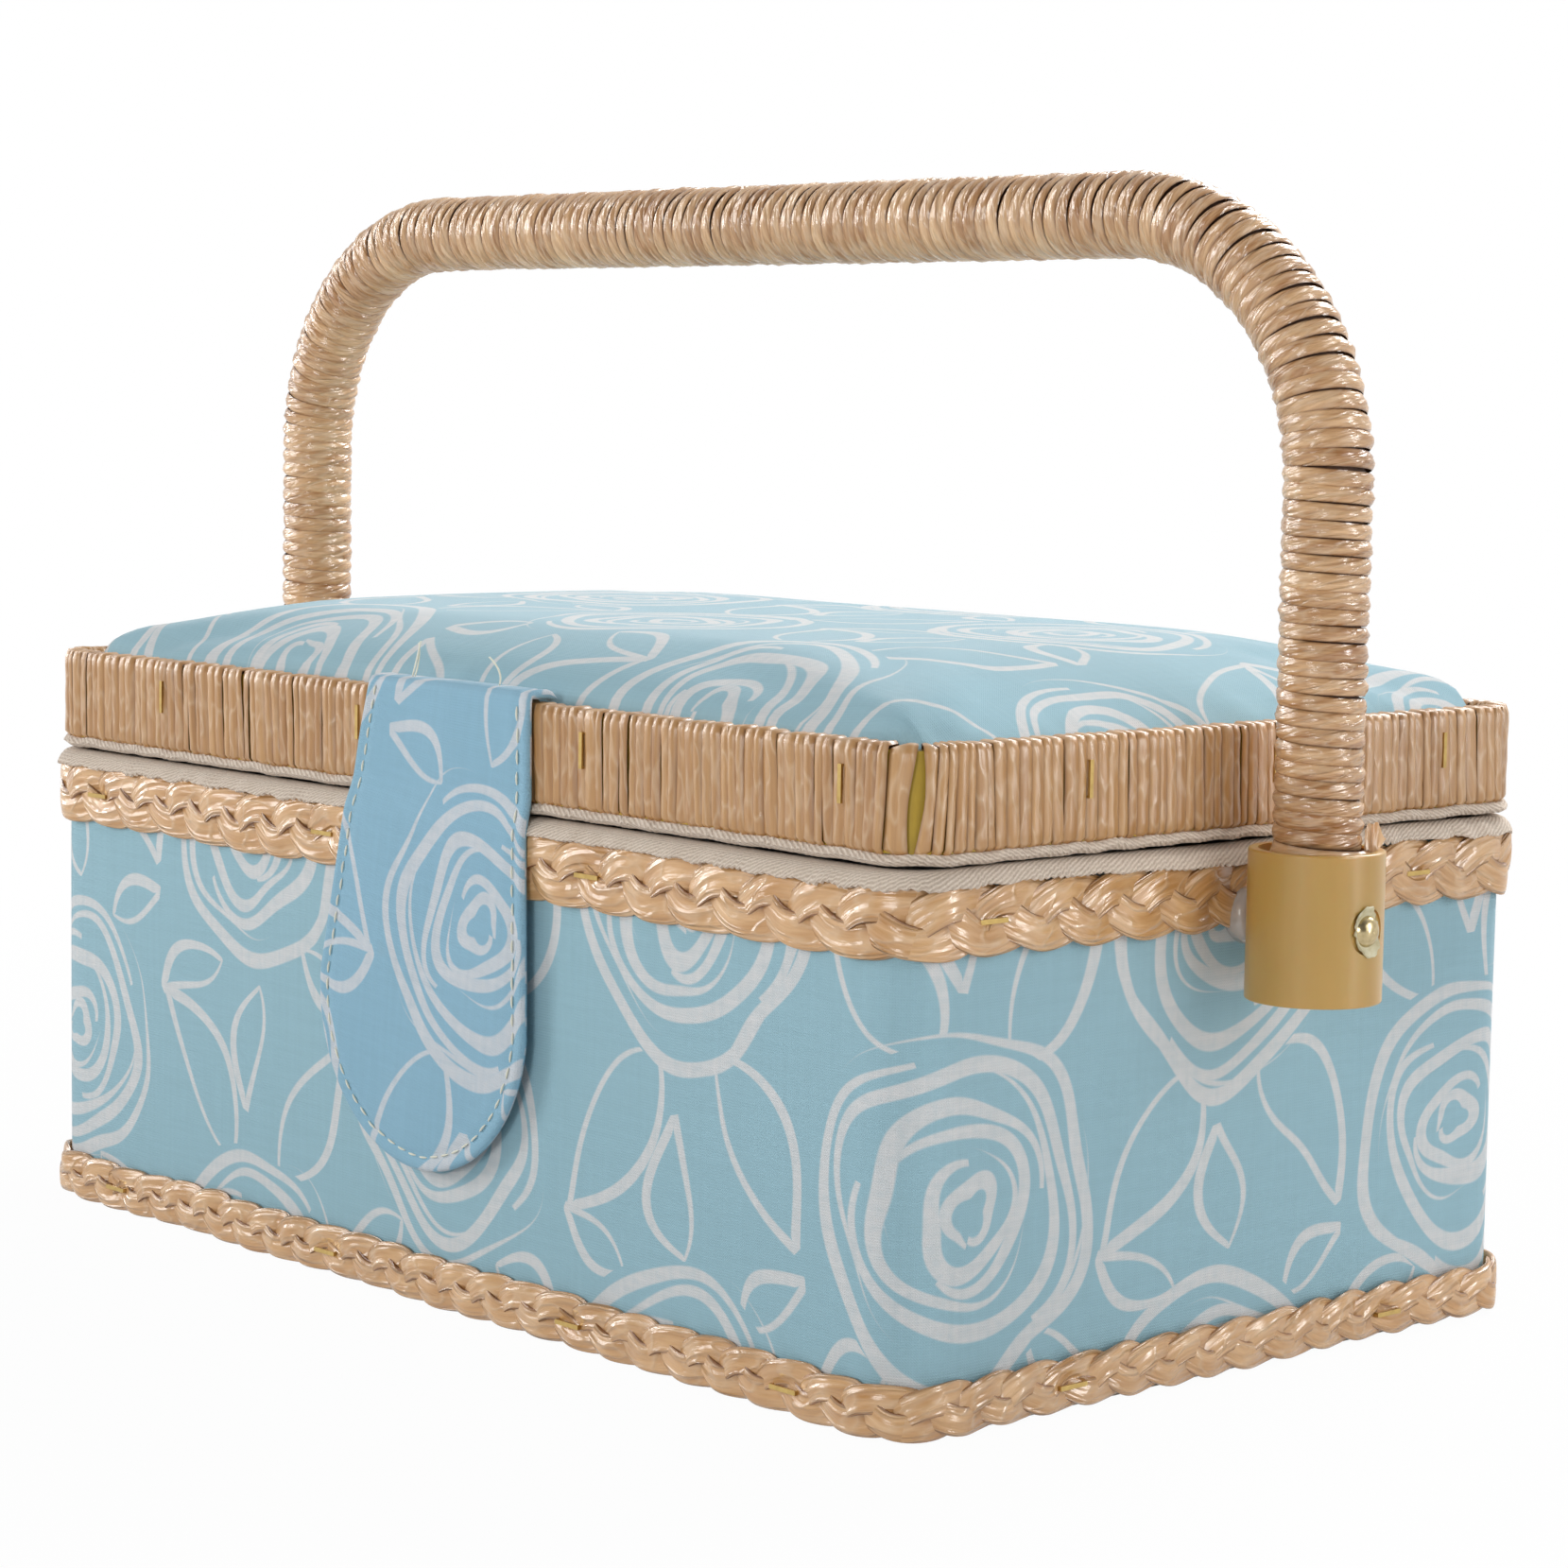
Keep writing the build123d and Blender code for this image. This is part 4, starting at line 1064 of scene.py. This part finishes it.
def puffed(piece, held_below, travel, pressure, voxel):
    """Remesh, cloth with pressure, and back to a plain mesh. Nothing moves further than travel."""
    modify(piece, "REMESH", mode="VOXEL", voxel_size=voxel)
    start = points(piece)
    held = piece.vertex_groups.new(name="held")
    held.add([int(i) for i in np.nonzero(start[:, 2] < held_below)[0]], 1.0, "REPLACE")
    soft = piece.modifiers.new("soft", "CLOTH")
    settings = soft.settings
    settings.use_pressure, settings.uniform_pressure_force = True, pressure
    settings.vertex_group_mass = "held"
    settings.effector_weights.gravity = 0.0
    soft.point_cache.frame_start, soft.point_cache.frame_end = 1, SIM_FRAMES
    for number in range(1, SIM_FRAMES + 1):
        scene.frame_set(number)
    bpy.ops.object.modifier_apply(modifier="soft")
    scene.frame_set(1)
    moved = points(piece) - start
    far = np.linalg.norm(moved, axis=1)
    moved *= np.minimum(1, travel / np.maximum(far, 1e-9))[:, None]
    move(piece, start + moved)
    print(piece.name, "moved", round(far.max() / MM, 1), "mm, kept at most", round(travel / MM, 1))


pad = cube("padded_cover", 48)
x, y, z = points(pad).T
x, y = (half * (np.sin(value * math.pi / 2) * 0.5 + value * 0.5) for value, half in ((x, PAD_X), (y, PAD_Y)))
# the corners of the square come in onto the corner arcs
over_x, over_y = (np.clip(np.abs(value) - half + PAD_CORNER, 0, None)
                  for value, half in ((x, PAD_X), (y, PAD_Y)))
pull = np.clip(PAD_CORNER / np.maximum(np.hypot(over_x, over_y), 1e-9), None, 1)
x, y = x - np.sign(x) * over_x * (1 - pull), y - np.sign(y) * over_y * (1 - pull)
top = PAD_RIM + (PAD_CROWN - BLOWN_UP) * (1 - np.clip(pad_share(x, y), 0, 1) ** PAD_STEEP) ** PAD_FULL
move(pad, np.stack((x, y, PAD_LOW + (top - PAD_LOW) * (z + 1) / 2), 1))
puffed(pad, held_below=PAD_RIM + 0.4 * MM, travel=2.2 * MM, pressure=4.0, voxel=4.0 * MM)
modify(pad, "SUBSURF", levels=1, render_levels=1)
x, y, z = points(pad).T
share = pad_share(x, y)
around_it = np.arctan2(y / PAD_Y, x / PAD_X) / TURN + 0.5
rise = np.clip((z - PAD_RIM) / (3 * MM), 0, 1)
edge = np.exp(-((share - 0.985) / 0.05) ** 2) * rise
gathers = wander(around_it, 1.0, 70, 61) * 0.28 + wander(around_it, 1.0, 26, 62) * 0.35
corner_near = np.exp(-((np.abs(x / PAD_X) - 0.96) ** 2 + (np.abs(y / PAD_Y) - 0.94) ** 2) / 0.012)
z = z + MM * rise * (edge * gathers + corner_near * 0.9 * np.sin((np.abs(x) - np.abs(y)) / (3.1 * MM)))
z = z + MM * rise * 0.35 * wander(around_it, 1.0, 5, 63) * share ** 2
move(pad, np.stack((x, y, z), 1))
map_cloth(pad, x * 1.03 + PAD_PRINT_X, y * 1.05 + PAD_PRINT_Y)
filling = pad.copy()
filling.data = pad.data.copy()
filling.name = "pad_filling"
scene.collection.objects.link(filling)
middle = np.array((0, 0, (PAD_LOW + PAD_RIM) / 2))
move(filling, middle + (points(filling) - middle) * (0.992, 0.987, 0.93))
dress(pad, printed, "lid", "pad_cover")
dress(filling, foam, "lid", "pad_foam")
print("pad:", len(pad.data.polygons), "faces, top at", round(z.max() / MM, 1), "mm")

# %% [markdown]
# ## The pincushion
#
# A small cushion is glued under the lid, so that pins are at hand when it is open. It is made as the pad
# is, the other way up, and held where it meets the lining.

# %% Make the pincushion
CUSHION_X, CUSHION_Y, CUSHION_TOP, CUSHION_THICK = 37.2 * MM, 22.2 * MM, 101.7 * MM, 6.6 * MM


def cushion_share(x, y):
    """0 in the middle and 1 on the outline, for x and y as shares of its half sides"""
    return (np.abs(x) ** 4 + np.abs(y) ** 4) ** 0.25


cushion = cube("pincushion_pad", 24)
x, y, z = points(cushion).T
square = np.maximum(np.maximum(np.abs(x), np.abs(y)), 1e-6)
pull = (square / np.maximum(cushion_share(x, y), 1e-6)) ** 0.9
x, y = x * pull, y * pull
low = CUSHION_TOP - CUSHION_THICK * (0.3 + 0.62 * (1 - np.clip(cushion_share(x, y), 0, 1) ** 3) ** 0.6)
move(cushion, np.stack((x * CUSHION_X, y * CUSHION_Y, CUSHION_TOP + (low - CUSHION_TOP) * (1 - z) / 2), 1))
weld(cushion, outward=True)
# the held part is at the top here, so the cushion is turned over for the simulation
move(cushion, points(cushion) * (1, -1, -1))
puffed(cushion, held_below=-CUSHION_TOP + 0.9 * MM, travel=0.7 * MM, pressure=4.0, voxel=2.6 * MM)
move(cushion, points(cushion) * (1, -1, -1))
x, y, _ = points(cushion).T
map_cloth(cushion, x, y)
dress(cushion, printed, "lid", "pincushion")
print("pincushion:", len(cushion.data.polygons), "faces")

# %% [markdown]
# ## The closing tab
#
# The tab is two layers of the printed cloth with a stiffener, sewn round its edge and fixed over the rim.
# Its lower part swings up when the snap is opened. It is one piece across the joint, not cut in two. It is
# a flat grid again: its outline first, then its thickness, which thins towards the edge and dips at the
# seam, and last the fold over the rim.

# %% Cut, sew and fold the tab
TAB_X, TAB_Z, TAB_TILT = 9.0 * MM, 112.2 * MM, math.radians(6)
TAB_TOP_HALF, TAB_END, TAB_STRAIGHT, TAB_OVER = 23.0 * MM, 30.0 * MM, 57.0 * MM, 5.8 * MM
TAB_THICK, SEAM_IN = 1.7 * MM, 2.7 * MM
# below the rim's foot the tab bends outward, over the straw plait
RIM_FRONT, RIM_FOOT, STEP_OUT, STEP_TALL = 78.0 * MM, 94.6 * MM, 1.15 * MM, 7.8 * MM
FOLD_RADIUS, FOLD_FROM, FOLD_LONG = 1.5 * MM, 1.2 * MM, 2.4 * MM
TAB_PRINT_X, TAB_PRINT_Y = 0.015, 0.092    # the same move of the print, for the tab


def tab_half_width(down):
    straight = TAB_TOP_HALF + (TAB_END - TAB_TOP_HALF) * np.clip(down, 0, None) / TAB_STRAIGHT
    past = np.clip(down - TAB_STRAIGHT, 0, TAB_END)
    return np.where(down > TAB_STRAIGHT, np.sqrt(TAB_END ** 2 - past ** 2), straight)


def tab_place(side, down, lift):
    """From the flat tab to the folded one: side and down on the flat cloth, lift out of it"""
    below = np.clip(down, 0, None)
    x = TAB_X + side * math.cos(TAB_TILT) - below * math.sin(TAB_TILT)
    z = (TAB_Z - 0.5 * MM - below * math.cos(TAB_TILT)
         - side * math.sin(TAB_TILT) * np.clip(down / (12 * MM), 0, 1))
    y = -RIM_FRONT - STEP_OUT * eased((RIM_FOOT - z) / STEP_TALL)
    # over the rim the cloth turns through a quarter circle and runs inward
    fold = np.clip(1 - (down + FOLD_FROM) / FOLD_LONG, 0, 1) * math.pi / 2
    inward = np.clip(-down - FOLD_FROM, 0, None)
    y = y + FOLD_RADIUS * (1 - np.cos(fold)) + inward - lift * np.cos(fold)
    z = z + lift * np.sin(fold) - 0.9 * MM * np.clip((inward - 2.2 * MM) / (2.4 * MM), 0, 1) ** 2
    return np.stack((x, y, z), 1)


def edge_distance(side, down):
    """How far a point of the flat tab is from its cut edge"""
    along_side = tab_half_width(down) - np.abs(side)
    in_round = TAB_END - np.hypot(side, down - TAB_STRAIGHT)
    return np.where(down > TAB_STRAIGHT, in_round, np.minimum(along_side, 2.5 * (down + TAB_OVER)))


def tab_layer(name, sign):
    layer = grid(name, 44, 110)
    a, b, _ = points(layer).T
    straight = TAB_OVER + TAB_STRAIGHT
    share = straight / (straight + TAB_END)
    in_round = np.sin(np.clip((b - share) / (1 - share), 0, 1) * math.pi / 2)
    down = np.where(b < share, -TAB_OVER + b / share * straight, TAB_STRAIGHT + TAB_END * in_round)
    side = np.sin((2 * a - 1) * math.pi / 2) * tab_half_width(down)
    near = np.clip(edge_distance(side, down), 0, None)
    half = TAB_THICK / 2 * np.sqrt(1 - (1 - np.clip(near / (1.0 * MM), 0, 1)) ** 2)
    half = half - 0.38 * MM * np.exp(-((near - SEAM_IN) / (0.7 * MM)) ** 2)
    swell = 0.25 * MM * np.sin(side * 210 + 1) * np.sin(down * 95 + 0.6) * np.clip(near / (6 * MM), 0, 1)
    move(layer, tab_place(side, down, sign * half + swell))
    map_cloth(layer, side * sign + TAB_PRINT_X, down + TAB_PRINT_Y)
    return layer


front, behind = tab_layer("closing_tab", 1), tab_layer("tab_back", -1)
edit(behind, bpy.ops.mesh.flip_normals)
tab = joined("closing_tab", front, behind)
weld(tab, gap=2e-5, outward=True)

# %% Topstitching and loose thread ends
STITCH, STITCH_GAP, STITCH_THICK = 2.3 * MM, 0.9 * MM, 0.42 * MM
THREAD_STEPS, THREAD_SIDES, THREAD_RADIUS = 9, 5, 0.24 * MM
# where each loose end starts on the flat tab, in mm, and how far it reaches to the side, back and up
LOOSE_ENDS = [(-13, -1.5, 1.0, 2.0, 6.2), (-12.4, -1.6, -0.5, 2.4, 5.9), (11.5, -2.0, -4.2, 2.0, 4.6)]


def seam_path():
    """The flat line of the seam: down one side, round the end, up the other"""
    tall = np.linspace(1.0 * MM, TAB_STRAIGHT, 200)
    left = np.stack((-(tab_half_width(tall) - SEAM_IN), tall), 1)
    bow = np.linspace(math.pi, 0, 240)[1:-1]
    end = np.stack(((TAB_END - SEAM_IN) * np.cos(bow), TAB_STRAIGHT + (TAB_END - SEAM_IN) * np.sin(bow)), 1)
    return np.vstack((left, end, left[::-1] * (-1, 1)))


def on_seam(run):
    """Side and down on the flat tab, at this run along the seam"""
    return np.array([np.interp(run, seam_run, seam[:, axis]) for axis in (0, 1)])


def add_part(places, faces):
    base = sum(len(part) for part in parts)
    parts.append(places)
    part_faces.extend(tuple(base + i for i in face) for face in faces)


seam = seam_path()
seam_run = runs(seam)
count = int(seam_run[-1] / (STITCH + STITCH_GAP))
bpy.ops.mesh.primitive_uv_sphere_add(segments=8, ring_count=6, radius=1)
model = bpy.context.object
shape, model_faces = points(model), [tuple(face.vertices) for face in model.data.polygons]
bpy.data.objects.remove(model)
parts, part_faces = [], []
random = np.random.default_rng(17)
for number in range(count):
    middle = (number + 0.5) * (STITCH + STITCH_GAP)
    ahead = on_seam(middle + MM) - on_seam(middle - MM)
    across = np.array(((-ahead[1],), (ahead[0],))) / np.linalg.norm(ahead)
    offset = shape[:, 0] * STITCH_THICK / 2 + random.normal(0, 0.09) * MM
    side, down = on_seam(middle + shape[:, 2] * STITCH / 2) + across * offset
    lift = TAB_THICK / 2 - 0.22 * MM + shape[:, 1] * STITCH_THICK / 2 + 0.12 * MM * (1 - shape[:, 2] ** 2)
    add_part(tab_place(side, down, lift), model_faces)
ring = [np.array((math.cos(angle), 0.6 * math.sin(angle), 0.3 * math.sin(angle))) * THREAD_RADIUS
        for angle in np.linspace(0, TURN, THREAD_SIDES + 1)[:-1]]
corners = range(THREAD_SIDES)
for start_x, start_down, aside, backward, upward in LOOSE_ENDS:
    foot = tab_place(np.array([start_x * MM]), np.array([start_down * MM]), np.array([TAB_THICK / 2]))[0]
    curl = [foot + np.array((aside * s ** 2, backward * s * (1 - 0.5 * s), upward * s)) * MM
            for s in np.linspace(0, 1, THREAD_STEPS)]
    sides = [[i * THREAD_SIDES + j for i, j in ((step, corner), (step, (corner + 1) % THREAD_SIDES),
                                                (step + 1, (corner + 1) % THREAD_SIDES), (step + 1, corner))]
             for step in range(THREAD_STEPS - 1) for corner in corners]
    caps = [corners[::-1], [THREAD_SIDES * (THREAD_STEPS - 1) + corner for corner in corners]]
    add_part(np.array([place + out for place in curl for out in ring]), sides + caps)
stitching = build("tab_stitching", np.vstack(parts), part_faces)
weld(stitching, gap=1e-7, outward=True)
dress(tab, printed_tab, None, "tab_anchor", "tab_flap", slot="tab_flap")
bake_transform(tab)
dress(stitching, thread, None, slot="tab_flap")
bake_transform(stitching)
print("stitches:", count)
